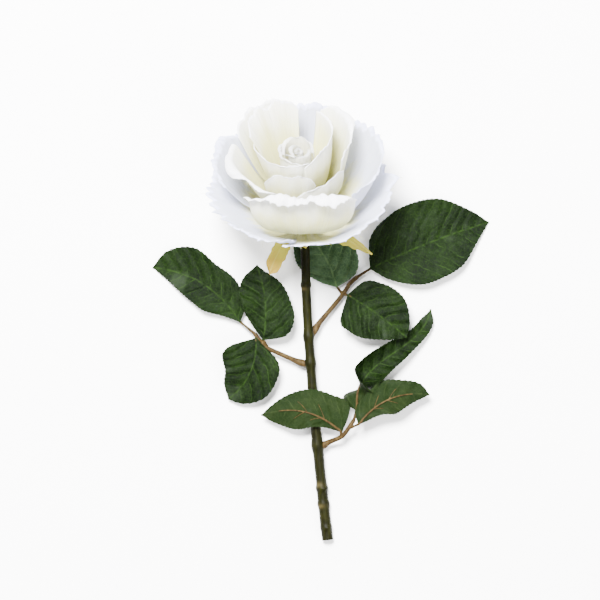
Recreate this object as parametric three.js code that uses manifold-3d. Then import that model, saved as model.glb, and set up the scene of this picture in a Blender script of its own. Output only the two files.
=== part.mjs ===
// A cut rose of fabric petals and leaves on a wired, moulded stem, lying on a table.
// Millimetres. +X is to the right, +Y runs along the stem towards the flower, +Z is up.
// The head is bent up from the stem, and its lowest two petals rest on the table.
import * as THREE from 'three';
import { mergeVertices } from 'three/addons/utils/BufferGeometryUtils.js';
import Module from 'manifold-3d';

const wasm = await Module();
wasm.setup();

const degree = Math.PI / 180;

// ---------------------------------------------------------------- driving dimensions

// the two overall sizes
const bloomSize = 1.0;             // scales every petal: 1 gives a head about 100 mm across
const stemLength = 160.5;          // straight run of the stem, from the bend to the cut

// flower head
const headPitch = 48;              // degrees between the flower's axis and the table
const headSideShift = -1.6;        // the head sits slightly left of the stem
const petalThickness = 0.6;
const clawRadius = 1.0;            // the petals are threaded round the wire with this hole
const clawStep = 1.2;              // height between one petal's claw and the next
const pressDepth = 2.4;            // how far the resting petals are flattened by the table

// calyx
const hipLength = 12;
const hipRadius = 6.6;
const sepalThickness = 0.7;

// stem
const stemTopRadius = 2.3;
const stemCutRadius = 2.85;
const neckBendRadius = 10;
const stemSway = 12.6;             // how far the cut end lies to the right of the neck

// leaves
const leafSize = 1.0;              // scales the width of every leaflet
const leafThickness = 0.7;
const stalkRootRadius = 2.5;
const stalkRadius = 1.35;
const ribRadius = 0.65;

// fits
const clearance = 0.3;             // gap between pieces that touch
const crossingGap = 1.2;           // gap where a leaflet passes over or under the stem

// ---------------------------------------------------------------- geometry helpers

// A closed sheet of even thickness on a surface(u, v), with u from -1 to 1 and v from 0 to 1.
function sheetSolid(surface, thickness, acrossSteps, alongSteps) {
  const small = 0.004;
  const positions = [];
  const indices = [];
  const columns = acrossSteps + 1;
  const rows = alongSteps + 1;
  const point = (u, v) => surface(THREE.MathUtils.clamp(u, -1, 1), THREE.MathUtils.clamp(v, 0, 1));
  for (const side of [1, -1]) {
    for (let row = 0; row < rows; row += 1) {
      for (let column = 0; column < columns; column += 1) {
        const u = -1 + (2 * column) / acrossSteps;
        const v = row / alongSteps;
        const across = point(u + small, v).sub(point(u - small, v));
        const along = point(u, v + small).sub(point(u, v - small));
        const normal = across.cross(along).normalize();
        const place = point(u, v).addScaledVector(normal, (side * thickness) / 2);
        positions.push(place.x, place.y, place.z);
      }
    }
  }
  const upper = (column, row) => row * columns + column;
  const lower = (column, row) => rows * columns + row * columns + column;
  const quad = (a, b, c, d) => indices.push(a, b, c, a, c, d);
  for (let row = 0; row < alongSteps; row += 1) {
    for (let column = 0; column < acrossSteps; column += 1) {
      const next = column + 1;
      const above = row + 1;
      quad(upper(column, row), upper(next, row), upper(next, above), upper(column, above));
      quad(lower(column, row), lower(column, above), lower(next, above), lower(next, row));
    }
  }
  for (let column = 0; column < acrossSteps; column += 1) {
    const next = column + 1;
    quad(lower(column, 0), lower(next, 0), upper(next, 0), upper(column, 0));
    const end = alongSteps;
    quad(upper(column, end), upper(next, end), lower(next, end), lower(column, end));
  }
  for (let row = 0; row < alongSteps; row += 1) {
    const above = row + 1;
    quad(upper(0, row), upper(0, above), lower(0, above), lower(0, row));
    const edge = acrossSteps;
    quad(lower(edge, row), lower(edge, above), upper(edge, above), upper(edge, row));
  }
  const geometry = new THREE.BufferGeometry();
  geometry.setAttribute('position', new THREE.Float32BufferAttribute(positions, 3));
  geometry.setIndex(indices);
  return geometry;
}

// A closed round bar along a curve, with a radius that changes along it.
function taperedBar(curve, radiusAt, alongSteps, sides) {
  const frames = curve.computeFrenetFrames(alongSteps, false);
  const positions = [];
  const indices = [];
  for (let step = 0; step <= alongSteps; step += 1) {
    const along = step / alongSteps;
    const centre = curve.getPointAt(along);
    const radius = radiusAt(along);
    for (let side = 0; side < sides; side += 1) {
      const turn = (2 * Math.PI * side) / sides;
      const place = centre.clone()
        .addScaledVector(frames.normals[step], radius * Math.cos(turn))
        .addScaledVector(frames.binormals[step], radius * Math.sin(turn));
      positions.push(place.x, place.y, place.z);
    }
  }
  const startCentre = positions.length / 3;
  const endCentre = startCentre + 1;
  positions.push(...curve.getPointAt(0).toArray(), ...curve.getPointAt(1).toArray());
  const lastRing = alongSteps * sides;
  for (let side = 0; side < sides; side += 1) {
    const next = (side + 1) % sides;
    for (let step = 0; step < alongSteps; step += 1) {
      const ring = step * sides;
      const ahead = ring + sides;
      indices.push(ring + side, ring + next, ahead + next);
      indices.push(ring + side, ahead + next, ahead + side);
    }
    indices.push(startCentre, next, side);
    indices.push(endCentre, lastRing + side, lastRing + next);
  }
  const geometry = new THREE.BufferGeometry();
  geometry.setAttribute('position', new THREE.Float32BufferAttribute(positions, 3));
  geometry.setIndex(indices);
  return geometry;
}

function toManifold(geometry) {
  const bare = geometry.clone();
  bare.deleteAttribute('normal');
  bare.deleteAttribute('uv');
  const welded = mergeVertices(bare, 1e-4);
  return new wasm.Manifold(new wasm.Mesh({
    numProp: 3,
    vertProperties: new Float32Array(welded.attributes.position.array),
    triVerts: new Uint32Array(welded.index.array),
  }));
}

function fromManifold(solid) {
  const mesh = solid.getMesh();
  const geometry = new THREE.BufferGeometry();
  geometry.setAttribute('position', new THREE.Float32BufferAttribute(mesh.vertProperties, 3));
  geometry.setIndex(Array.from(mesh.triVerts));
  return geometry;
}

// Smooth value through hand-set stations: zero at both ends, the list's values between them.
function widthAt(stations, v) {
  const places = [0, 0.1, 0.3, 0.5, 0.7, 0.9, 1];
  const values = [0, ...stations, 0];
  let cell = 0;
  while (cell < places.length - 2 && v > places[cell + 1]) {
    cell += 1;
  }
  const span = places[cell + 1] - places[cell];
  const t = (v - places[cell]) / span;
  const slope = (index) => {
    const before = Math.max(index - 1, 0);
    const after = Math.min(index + 1, places.length - 1);
    return (values[after] - values[before]) / (places[after] - places[before]);
  };
  const startSlope = slope(cell) * span;
  const endSlope = slope(cell + 1) * span;
  const square = t * t;
  const cube = square * t;
  return (2 * cube - 3 * square + 1) * values[cell] + (cube - 2 * square + t) * startSlope
    + (3 * square - 2 * cube) * values[cell + 1] + (cube - square) * endSlope;
}

// ---------------------------------------------------------------- materials

const finishes = {
  petal: { color: 0xf6f5ee, roughness: 0.85, metalness: 0 },
  leafTop: { color: 0x2f4d2b, roughness: 0.6, metalness: 0 },
  leafBack: { color: 0x4d6238, roughness: 0.7, metalness: 0 },
  stem: { color: 0x4a4a2c, roughness: 0.55, metalness: 0 },
  stalk: { color: 0x8a6a42, roughness: 0.55, metalness: 0 },
  sepal: { color: 0xb0a850, roughness: 0.65, metalness: 0 },
};

const rose = new THREE.Group();

function addPiece(name, geometry, finish) {
  const mesh = new THREE.Mesh(geometry, new THREE.MeshStandardMaterial(finishes[finish]));
  mesh.name = name;
  rose.add(mesh);
  return mesh;
}

// ---------------------------------------------------------------- flower head

// The petals, innermost first. Angles are in degrees round the flower's axis: 0 is to the
// right, 90 is the side that faces the table, and -90 is the side above the stem.
//   facing, spread   middle of the petal and its half angle
//   radius, height   where the petal's rim stands
//   belly            how far out the cup bulges
//   swing, flare     change of radius from one side to the other, and from middle to sides
//   drop             how much shorter the petal is at its sides
//   roll, rollSwing  degrees that the rim rolls outwards, and its change across the petal
//   curl             radius of that roll
//   narrow, fullAt   where they differ from clawSpread and fullWidthAt below
const petals = [
  { name: 'bud_heart', facing: -20, spread: 160, radius: 1.9, height: 56, belly: 2.2,
    swing: 0.15, flare: 0, drop: 0.04, roll: 10, rollSwing: 0, curl: 2, lean: -3 },
  { name: 'bud_petal_left', facing: 170, spread: 95, radius: 4.1, height: 57, belly: 4.3,
    swing: 0.04, flare: 0, drop: 0.06, roll: 20, rollSwing: 0, curl: 1.5, lean: -3 },
  { name: 'bud_petal_front', facing: -75, spread: 98, radius: 5.9, height: 57, belly: 6.1,
    swing: 0.04, flare: 0, drop: 0.06, roll: 20, rollSwing: 0, curl: 1.5, lean: -3 },
  { name: 'bud_petal_back', facing: 95, spread: 98, radius: 7.8, height: 58.5, belly: 8.1,
    swing: 0.04, flare: 0, drop: 0.06, roll: 25, rollSwing: 0, curl: 1.5, lean: -3 },
  { name: 'bud_petal_outer', facing: 215, spread: 78, radius: 10.2, height: 57, belly: 11.3,
    swing: 0.04, flare: 0, drop: 0.06, roll: 25, rollSwing: 0, curl: 1.5, lean: -3 },
  { name: 'inner_petal_left', facing: 235, spread: 68, radius: 16.8, height: 58.5, belly: 15.2,
    swing: -0.52, flare: 0.16, drop: 0.07, roll: 45, rollSwing: 0, curl: 1.8 },
  { name: 'inner_petal_right', facing: -5, spread: 80, radius: 13.5, height: 61, belly: 14.6,
    swing: 0.58, flare: 0.68, drop: 0.06, roll: 60, rollSwing: 0, curl: 1.6 },
  { name: 'inner_petal_back', facing: 128, spread: 34, radius: 33.5, height: 62.5, belly: 18,
    swing: 0, flare: -0.03, drop: 0.08, roll: 40, rollSwing: 0, curl: 2.5 },
  { name: 'middle_petal_front', facing: 254, spread: 34, radius: 19, height: 55, belly: 20,
    swing: -0.26, flare: 0.03, drop: 0.08, roll: 35, rollSwing: 0, curl: 1.6 },
  { name: 'middle_petal_right', facing: -54, spread: 42, radius: 21.5, height: 49, belly: 22,
    swing: -0.06, flare: 0.1, drop: 0.08, roll: 40, rollSwing: 0, curl: 1.5 },
  { name: 'middle_petal_left', facing: 207, spread: 48, radius: 34, height: 50, belly: 24,
    swing: -0.2, flare: 0, drop: 0.08, roll: 105, rollSwing: -0.6, curl: 2.4 },
  { name: 'back_petal_right', facing: 33, spread: 41, radius: 30.5, height: 57, belly: 24,
    swing: 0.29, flare: 0, drop: 0.1, roll: 85, rollSwing: 0.3, curl: 1.9 },
  { name: 'back_petal_left', facing: 127, spread: 29, radius: 40.5, height: 56, belly: 27,
    swing: 0, flare: 0, drop: 0.1, roll: 70, rollSwing: 0, curl: 2 },
  { name: 'front_petal', facing: -90, spread: 48, radius: 31, height: 50, belly: 35.5,
    swing: 0, flare: 0.2, drop: 0.12, roll: 150, rollSwing: -0.12, curl: 4.2, narrow: 0.4, fullAt: 0.8 },
  { name: 'outer_petal_right', facing: 10, spread: 46, radius: 43, height: 46, belly: 35,
    swing: 0.1, flare: -0.12, drop: 0.12, roll: 95, rollSwing: 0, curl: 2.4 },
  { name: 'outer_petal_left', facing: 166, spread: 27, radius: 46, height: 43, belly: 33,
    swing: 0, flare: 0, drop: 0.12, roll: 120, rollSwing: 0, curl: 2.2 },
  { name: 'outer_petal_back', facing: 89, spread: 32, radius: 45, height: 43, belly: 35,
    swing: 0, flare: 0, drop: 0.12, roll: 80, rollSwing: 0, curl: 2.4 },
  { name: 'low_petal_left', facing: 217, spread: 46, radius: 46, height: 26.5, belly: 30,
    swing: -0.14, flare: 0, drop: 0.1, roll: 40, rollSwing: 0, curl: 4, narrow: 0.85 },
  { name: 'low_petal_right', facing: -40, spread: 64, radius: 46, height: 29, belly: 31,
    swing: 0.05, flare: 0.03, drop: 0.1, roll: 40, rollSwing: 0, curl: 4, narrow: 0.85 },
  { name: 'resting_petal_right', facing: 56, spread: 37, radius: 50, height: 17, belly: 31,
    swing: 0, flare: 0, drop: 0.08, roll: 50, rollSwing: 0, curl: 5, pressed: true },
  { name: 'resting_petal_left', facing: 133, spread: 38, radius: 51, height: 17, belly: 32,
    swing: 0, flare: 0, drop: 0.08, roll: 50, rollSwing: 0, curl: 5, pressed: true },
];

const lowestClaw = clearance + petalThickness;
const highestClaw = lowestClaw + clawStep * (petals.length - 1);
const pressSoftness = 0.5;           // how gently a resting petal bends where it meets the table
const clawSpread = 0.55;             // share of its spread that a petal has at the claw
const fullWidthAt = 0.45;            // share of its length where a petal reaches its full spread
const rollShare = 0.3;               // share of each petal's steps that lie in its roll
const lowBelly = 0.85;               // the cup's curve leaves the claw towards this share of the belly
const highBelly = 1.1;               // and comes to the rim from this share of it
const highBellyAt = 0.55;            // share of the petal's rise where that second guide lies
const lowBellyAt = 0.02;
const bellyFollow = 0.5;             // how far the belly follows the rim's change of radius
const rollFade = 0.5;                // share of the roll that is lost at the petal's sides
const headingStep = 0.02;            // short step back along the cup, to find its heading

function bezier(a, b, c, d, t) {
  const s = 1 - t;
  return s * s * s * a + 3 * s * s * t * b + 3 * s * t * t * c + t * t * t * d;
}

// Radius and height of a petal at (u, v): a cup from the claw, then a round roll at the rim.
function petalProfile(petal, order, u, v) {
  const clawHeight = highestClaw - clawStep * order;
  const rimHeight = petal.height * bloomSize;
  const rise = rimHeight - clawHeight;
  const sides = 1 + petal.swing * u + petal.flare * u * u;
  const rimRadius = petal.radius * bloomSize * sides;
  const belly = petal.belly * bloomSize * (1 + (sides - 1) * bellyFollow);
  const cupEnd = 1 - petal.drop * Math.abs(u) ** 3;
  const bodyShare = Math.min(v / (1 - rollShare), 1);
  const rollShareDone = Math.max((v - (1 - rollShare)) / rollShare, 0);
  const curve = (t) => new THREE.Vector2(
    bezier(clawRadius, belly * lowBelly, belly * highBelly, rimRadius, t),
    bezier(clawHeight, clawHeight + rise * lowBellyAt, clawHeight + rise * highBellyAt, rimHeight, t),
  );
  const place = curve(cupEnd * bodyShare);
  if (rollShareDone > 0) {
    const end = curve(cupEnd);
    const heading = end.clone().sub(curve(cupEnd - headingStep)).normalize();
    const outward = new THREE.Vector2(heading.y, -heading.x);
    const fade = 1 - rollFade * Math.abs(u) ** 3;
    const angle = petal.roll * degree * (1 + petal.rollSwing * u) * fade * rollShareDone;
    const curl = petal.curl * bloomSize;
    place.copy(end)
      .addScaledVector(heading, curl * Math.sin(angle))
      .addScaledVector(outward, curl * (1 - Math.cos(angle)));
  }
  return place;
}

// The head's own frame: its axis leans back from the table by headPitch.
const headAxis = new THREE.Vector3(0, Math.cos(headPitch * degree), Math.sin(headPitch * degree));
const headRight = new THREE.Vector3(1, 0, 0);
const headDown = new THREE.Vector3(0, Math.sin(headPitch * degree), -Math.cos(headPitch * degree));

function headPoint(base, radius, angle, height) {
  return base.clone()
    .addScaledVector(headRight, radius * Math.cos(angle))
    .addScaledVector(headDown, radius * Math.sin(angle))
    .addScaledVector(headAxis, height);
}

// The base of the head stands as high as its lowest petal reaches down, less the pressing.
const acrossPlaces = [-1, -0.75, -0.5, -0.25, 0, 0.25, 0.5, 0.75, 1];
const lowestReach = Math.min(...petals.flatMap((petal, order) => acrossPlaces.map((u) => {
  const rim = petalProfile(petal, order, u, 1);
  return headPoint(new THREE.Vector3(), rim.x, (petal.facing + petal.spread * u) * degree, rim.y).z;
})));
const headBase = headAxis.clone().multiplyScalar(hipLength);
headBase.x = headSideShift;
headBase.z = -lowestReach - pressDepth + petalThickness / 2;

function petalSurface(petal, order) {
  return (u, v) => {
    const profile = petalProfile(petal, order, u, v);
    const opening = Math.sin(Math.min(v / (petal.fullAt ?? fullWidthAt), 1) * 90 * degree);
    const narrow = petal.narrow ?? clawSpread;
    const spread = petal.spread * (narrow + (1 - narrow) * opening);
    const angle = (petal.facing + spread * u) * degree;
    const place = headPoint(headBase, profile.x, angle, profile.y);
    place.x += (petal.lean ?? 0) * v * v;
    if (petal.pressed) {
      const floor = petalThickness / 2;
      place.z = floor + pressSoftness * Math.log1p(Math.exp((place.z - floor) / pressSoftness));
    }
    return place;
  };
}

const petalSteps = 8;
const petalAcross = 7;
const wideAcross = 10;
const widePetal = 60;                // a petal of a larger half angle gets more steps across

petals.forEach((petal, order) => {
  const acrossSteps = petal.spread > widePetal ? wideAcross : petalAcross;
  const sheet = sheetSolid(petalSurface(petal, order), petalThickness, acrossSteps, petalSteps);
  addPiece(petal.name, sheet, 'petal');
});

// ---------------------------------------------------------------- calyx and sepals

const hipFootLip = 0.4;              // the cup's foot stands out this far round the stem
const hipSides = 16;
const hipProfile = [
  new THREE.Vector2(0, -hipLength),
  new THREE.Vector2(stemTopRadius + hipFootLip, -hipLength),
  new THREE.Vector2(hipRadius * 0.72, -hipLength * 0.75),
  new THREE.Vector2(hipRadius, -hipLength * 0.4),
  new THREE.Vector2(hipRadius * 0.94, -hipLength * 0.12),
  new THREE.Vector2(hipRadius * 0.8, 0),
  new THREE.Vector2(0, 0),
];
const hip = addPiece('calyx_cup', new THREE.LatheGeometry(hipProfile, hipSides), 'sepal');
hip.position.copy(headBase);
hip.rotation.x = headPitch * degree;

// Each sepal leaves the cup's widest part and follows a curve in radius and height.
//   bend, tip   control point and end of that curve, as [radius, height]
const sepals = [
  { name: 'sepal_left', facing: 226, bend: [16, -3], tip: [26, -22], width: 5.2, blunt: true },
  { name: 'sepal_front', facing: -84, bend: [12, -2], tip: [17, -3], width: 3.6 },
  { name: 'sepal_right', facing: -25, bend: [26, 1.5], tip: [42.5, -7], width: 4 },
  { name: 'sepal_back_right', facing: 50, bend: [14, -3], tip: [23, -6], width: 3.8 },
  { name: 'sepal_back_left', facing: 138, bend: [14, -3], tip: [23, -7], width: 3.8 },
];
const sepalRootRadius = hipRadius + clearance + sepalThickness / 2;
const sepalRootHeight = -hipLength * 0.3;
const sepalOutline = [0.55, 0.85, 1, 0.8, 0.35];
const bluntOutline = [0.45, 0.7, 0.95, 1, 0.8];
const sepalDroop = 0.12;             // how far a sepal's edges hang, as a share of its half width
const narrowestSepal = 0.3;
const sepalAcross = 4;               // steps across a sepal and along it
const sepalAlong = 8;

for (const sepal of sepals) {
  const surface = (u, v) => {
    const s = 1 - v;
    const radius = s * s * sepalRootRadius + 2 * s * v * sepal.bend[0] + v * v * sepal.tip[0];
    const height = s * s * sepalRootHeight + 2 * s * v * sepal.bend[1] + v * v * sepal.tip[1];
    const outline = sepal.blunt ? bluntOutline : sepalOutline;
    const halfWidth = Math.max(sepal.width * widthAt(outline, v), narrowestSepal);
    const facing = sepal.facing * degree;
    const place = headPoint(headBase, radius, facing, height - sepalDroop * halfWidth * u * u);
    const across = headRight.clone().multiplyScalar(-Math.sin(facing))
      .addScaledVector(headDown, Math.cos(facing));
    return place.addScaledVector(across, halfWidth * u);
  };
  addPiece(sepal.name, sheetSolid(surface, sepalThickness, sepalAcross, sepalAlong), 'sepal');
}

// ---------------------------------------------------------------- stem

// The neck turns on an arc from the flower's axis down to the lie of the stem.
const neckTop = headPoint(headBase, 0, 0, -hipLength - 2 * clearance);
const neckTurn = headPitch * degree;
const neckFoot = neckTop.clone();
neckFoot.y -= neckBendRadius * Math.sin(neckTurn);
neckFoot.z -= neckBendRadius * (1 - Math.cos(neckTurn));

function stemCentre(distance) {
  const share = distance / stemLength;
  return new THREE.Vector3(
    stemSway * share ** 1.5,
    neckFoot.y - distance,
    neckFoot.z + (stemCutRadius - neckFoot.z) * share,
  );
}

const neckPoints = [0, 0.25, 0.5, 0.75].map((share) => {
  const angle = neckTurn * share;
  const back = neckBendRadius * (Math.sin(neckTurn) - Math.sin(neckTurn - angle));
  const down = neckBendRadius * (Math.cos(neckTurn - angle) - Math.cos(neckTurn));
  return new THREE.Vector3(neckTop.x * (1 - share), neckTop.y - back, neckTop.z - down);
});
const runShares = [0, 0.15, 0.3, 0.45, 0.6, 0.75, 0.9, 1];
const runPoints = runShares.map((share) => stemCentre(stemLength * share));
const stemCurve = new THREE.CatmullRomCurve3([...neckPoints, ...runPoints], false, 'centripetal');

// low swellings where old leaves were, as shares of the stem from the neck
const stemSwellings = [0.2, 0.83, 0.88];
const swellingHeight = 0.35;
const swellingReach = 0.012;
function stemRadius(along) {
  const taper = stemTopRadius + (stemCutRadius - stemTopRadius) * along;
  const bump = (place) => Math.exp(-(((along - place) / swellingReach) ** 2));
  const swelling = stemSwellings.reduce((sum, place) => sum + bump(place), 0);
  return taper + swellingHeight * swelling;
}
const stemSteps = 40;
const stemSides = 8;
addPiece('stem', taperedBar(stemCurve, stemRadius, stemSteps, stemSides), 'stem');
const roomRadius = (along) => stemRadius(along) + clearance;
const stemRoom = toManifold(taperedBar(stemCurve, roomRadius, stemSteps, stemSides));

// ---------------------------------------------------------------- leaf sprays

// A spray's places are [right, ahead, height]: right and ahead are measured in plan from where
// its stalk leaves the middle of the stem, and height is measured from the table.
//   bow, skew     sideways bend of the midrib, positive to the left of its direction, and how
//                 much of that bend lies near the base
//   arch          rise of the midrib between its ends
//   left, right   half widths at 0.1, 0.3, 0.5, 0.7 and 0.9 of the length, top face up
//   fold, cup     upward fold along the midrib and upward curve across it, in degrees
//   roll          turn about the midrib at the base and at the tip, 180 shows the back
const lowSpray = 109.5;               // distances of the sprays from the neck's foot
const rightSpray = 48.5;
const leftSpray = 63.5;
const lowRoot = stemCentre(lowSpray).z;
const crossingAhead = 18;             // a leaflet of the low spray crosses the stem this far ahead
const overStem = stemCentre(lowSpray - crossingAhead).z + stemCutRadius + crossingGap;
const underStem = stemCentre(rightSpray / 2).z - stemCutRadius - crossingGap;

// Wider leaflets curve up further, so one that crosses another stands higher when leafSize grows.
const crossingRise = 18;
const overLeaf = crossingRise * (leafSize - 1);

const sprays = [
  {
    name: 'left', distance: leftSpray, finish: 'leafTop',
    stalk: [[-6, 1.6, 5.6], [-11.5, 3.9, 6], [-17.6, 6.6, 6.4],
      [-23.7, 9.4, 6.4], [-27, 12.4, 6], [-31, 17.4, 5]],
    leaflets: [
      { name: 'leaf_left_end', fork: 5, base: [-39.1, 23.7, 4.8], tip: [-87.8, 54.2, 0.6],
        bow: -7.2, arch: 1.5,
        left: [4.5, 11.5, 12, 9.5, 4], right: [8, 13, 13.2, 16, 10], fold: 7, cup: 8, roll: [0, 0] },
      { name: 'leaf_left_upper', fork: 3, base: [-26.4, 13.8, 8.6], tip: [-29.9, 55.5, 5.5], bow: -3, arch: 2,
        left: [4.5, 10.5, 13, 13.5, 9], right: [12, 16, 14, 10.5, 3], fold: 6, cup: 8, roll: [0, 0] },
      { name: 'leaf_left_lower', fork: 4, base: [-30.3, 15.4, 9.6], tip: [-45.7, -19, 3], bow: 5, arch: 2.5,
        left: [4, 14, 15.5, 16, 11], right: [13, 18, 17, 12.5, 8], fold: 6, cup: -8, roll: [0, 0] },
    ],
  },
  {
    name: 'right', distance: rightSpray, finish: 'leafTop',
    stalk: [[3, 4, 5.6], [5.8, 8.4, 5.4], [9.7, 13.1, 5.2],
      [13, 17, 5], [18.9, 24.3, 5], [22.7, 30.1, 4.8], [27, 34, 4.6]],
    leaflets: [
      { name: 'leaf_right_end', fork: 6, base: [33.9, 38.4, 5], tip: [100.1, 64.4, 0.5], bow: 1.5, arch: 2.5,
        left: [15, 22.5, 24, 20.5, 8.5], right: [10, 19.5, 21, 18, 6.5], fold: 8, cup: 0, roll: [0, 0] },
      { name: 'leaf_right_under', fork: 4, base: [15.5, 28.1, underStem + 0.4],
        tip: [-6.9, 61.5, underStem - 0.5], bow: -4, arch: 0,
        left: [7, 13, 15, 14, 8], right: [12, 17, 16, 12, 5], fold: 0, cup: 0, roll: [0, 0] },
      { name: 'leaf_right_lower', fork: 4, base: [21.4, 24.1, overLeaf + 10],
        tip: [54.2, 0.4, overLeaf + 11.2], bow: 1, arch: 2,
        left: [11, 15.5, 17, 15, 7.5], right: [14.5, 17, 16, 11.5, 5], fold: 5, cup: -10, roll: [0, 0] },
    ],
  },
  {
    name: 'low', distance: lowSpray, finish: 'leafBack',
    stalk: [[3, 1.4, lowRoot + 0.72], [6.2, 3.3, lowRoot + 1.72], [13.1, 6.4, lowRoot + overLeaf + 4.72],
      [16.9, 10.8, lowRoot + overLeaf + 5.72], [20, 15.6, lowRoot + 5.72]],
    leaflets: [
      { name: 'leaf_low_left', fork: 2, base: [13.4, 8.6, overStem + overLeaf + 1.5],
        tip: [-31.4, 18.2, overStem + overLeaf - 2.5],
        bow: -7, arch: 3,
        left: [14, 14.2, 13, 8.6, 3], right: [2, 6, 10, 10, 5.5], fold: 5, cup: 12, roll: [180, 180] },
      { name: 'leaf_low_right', fork: 3, base: [22.4, 13, lowRoot + overLeaf + 9.12],
        tip: [61.9, 29.6, lowRoot + overLeaf + 4.22], bow: 6.5, arch: 3.5,
        left: [2.5, 5.5, 9, 7, 3], right: [5, 8.5, 11, 8.5, 5.5], fold: 5, cup: 10, roll: [180, 180] },
      { name: 'leaf_low_end', fork: 4, base: [21.8, 20.4, lowRoot + 3.92], tip: [62.7, 77.1, 1.2],
        bow: 4.8, skew: 3.2, arch: 2.2,
        left: [6.5, 7.5, 8.5, 8, 5.5], right: [9, 10, 8.5, 8, 5.5], fold: 5, cup: 60, roll: [180, 0] },
    ],
  },
];

const up = new THREE.Vector3(0, 0, 1);
const twistFrom = 0.05;              // a leaflet that turns over does so between these shares
const twistTo = 0.42;
const narrowestLeaf = 0.5;           // half width at its two ends
const leafAcross = 6;                // steps across a leaflet and along it
const leafAlong = 9;
const turningAlong = 20;             // a leaflet that turns over needs more steps along it
const stepsAlong = (leaf) => (leaf.roll[0] === leaf.roll[1] ? leafAlong : turningAlong);

// The leaflet's middle surface; grow widens and lengthens it to cut room round the leaflet.
function leafSurface(leaf, origin, grow = 0) {
  const base = new THREE.Vector3(origin.x + leaf.base[0], origin.y + leaf.base[1], leaf.base[2]);
  const tip = new THREE.Vector3(origin.x + leaf.tip[0], origin.y + leaf.tip[1], leaf.tip[2]);
  const heading = tip.clone().sub(base).setZ(0).normalize();
  const leftward = up.clone().cross(heading);
  const widest = Math.max(...leaf.left, ...leaf.right) * leafSize;
  const bend = Math.max(Math.abs(leaf.cup * degree), 1e-3) * Math.sign(leaf.cup || 1) / widest;
  const skew = leaf.skew ?? 0;
  const midrib = (v) => base.clone().lerp(tip, v)
    .addScaledVector(leftward, 4 * leaf.bow * v * (1 - v) * (1 + skew * (1 - 2 * v)))
    .addScaledVector(up, 4 * leaf.arch * v * (1 - v));
  const overrun = grow / base.distanceTo(tip);
  return (u, share, lift = 0) => {
    const v = share * (1 + 2 * overrun) - overrun;
    const tangent = midrib(v + 0.01).sub(midrib(v - 0.01)).normalize();
    const level = up.clone().cross(tangent).normalize();
    const upright = tangent.clone().cross(level);
    const turned = THREE.MathUtils.smoothstep(v, twistFrom, twistTo);
    const turn = THREE.MathUtils.lerp(leaf.roll[0], leaf.roll[1], turned) * degree;
    const toLeft = level.clone().multiplyScalar(Math.cos(turn)).addScaledVector(upright, Math.sin(turn));
    const face = upright.clone().multiplyScalar(Math.cos(turn)).addScaledVector(level, -Math.sin(turn));
    const inside = THREE.MathUtils.clamp(v, 0, 1);
    const stations = u < 0 ? leaf.left : leaf.right;
    const halfWidth = Math.max(widthAt(stations, inside) * leafSize, narrowestLeaf) + grow;
    const away = u * halfWidth;
    const sideways = Math.sin(bend * away) / bend;
    const rise = (1 - Math.cos(bend * away)) / bend + Math.abs(away) * Math.tan(leaf.fold * degree);
    return midrib(v).addScaledVector(toLeft, -sideways).addScaledVector(face, rise + lift);
  };
}

// The stalk is thick at the stem, and each rib is thick at its fork; both thin out quickly.
const stalkThinning = 5;
const ribThinning = 8;
const stalkSteps = 10;
const stalkSides = 6;
const ribSides = 5;
const ribStart = 0.8;                // a rib's radius at its fork, as a share of the stalk's
const ribTipLoss = 0.3;              // how much thinner a rib is at its tip
const ribPlaces = [0.02, 0.1, 0.2, 0.35, 0.5, 0.65, 0.78];
const roomGap = 1.5 * clearance;     // the room round a leaflet; a twisted one comes nearer than this

for (const spray of sprays) {
  const root = stemCentre(spray.distance);
  const origin = new THREE.Vector3(root.x, root.y, 0);
  const places = spray.stalk.map(([right, ahead, height]) => (
    new THREE.Vector3(origin.x + right, origin.y + ahead, height)));
  const stalkCurve = new THREE.CatmullRomCurve3([root, ...places]);
  const taper = (along) => stalkRadius + (stalkRootRadius - stalkRadius) * Math.exp(-along * stalkThinning);
  let stalk = toManifold(taperedBar(stalkCurve, taper, stalkSteps, stalkSides));
  for (const leaf of spray.leaflets) {
    const surface = leafSurface(leaf, origin);
    addPiece(leaf.name, sheetSolid(surface, leafThickness, leafAcross, stepsAlong(leaf)), spray.finish);
    const ribDrop = -(leafThickness / 2 + clearance + ribRadius);
    const ribLine = ribPlaces.map((v) => surface(0, v, ribDrop));
    const ribCurve = new THREE.CatmullRomCurve3([places[leaf.fork], ...ribLine]);
    const ribTaper = (along) => ribRadius
      + (stalkRadius * ribStart - ribRadius) * Math.exp(-along * ribThinning) - ribTipLoss * along;
    stalk = stalk.add(toManifold(taperedBar(ribCurve, ribTaper, stepsAlong(leaf) + 1, ribSides)));
  }
  stalk = stalk.subtract(stemRoom);
  for (const leaf of spray.leaflets) {
    const wider = leafSurface(leaf, origin, 2 * clearance);
    const room = sheetSolid(wider, leafThickness + 2 * roomGap, leafAcross, stepsAlong(leaf));
    stalk = stalk.subtract(toManifold(room));
  }
  addPiece(`stalk_${spray.name}`, fromManifold(stalk), 'stalk');
}

// ---------------------------------------------------------------- frame

// The origin is the middle of the footprint, on the table.
const footprint = new THREE.Box3().setFromObject(rose, true);
rose.position.set(
  -(footprint.min.x + footprint.max.x) / 2,
  -(footprint.min.y + footprint.max.y) / 2,
  -footprint.min.z,
);

export default rose;
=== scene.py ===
# %% [markdown]
# # A white fabric rose, lying on a table
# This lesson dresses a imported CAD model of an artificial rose. The frame holds plain, faceted
# petals, leaves and stalks. Each of them is replaced by a finer piece that follows the same
# shape: thin cloth for petals, sepals and leaves, and moulded plastic for the stalks and stem.
# Everything is worked out in millimetres and turned into metres when a mesh is made.

# %% Load the frame
import math

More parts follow.
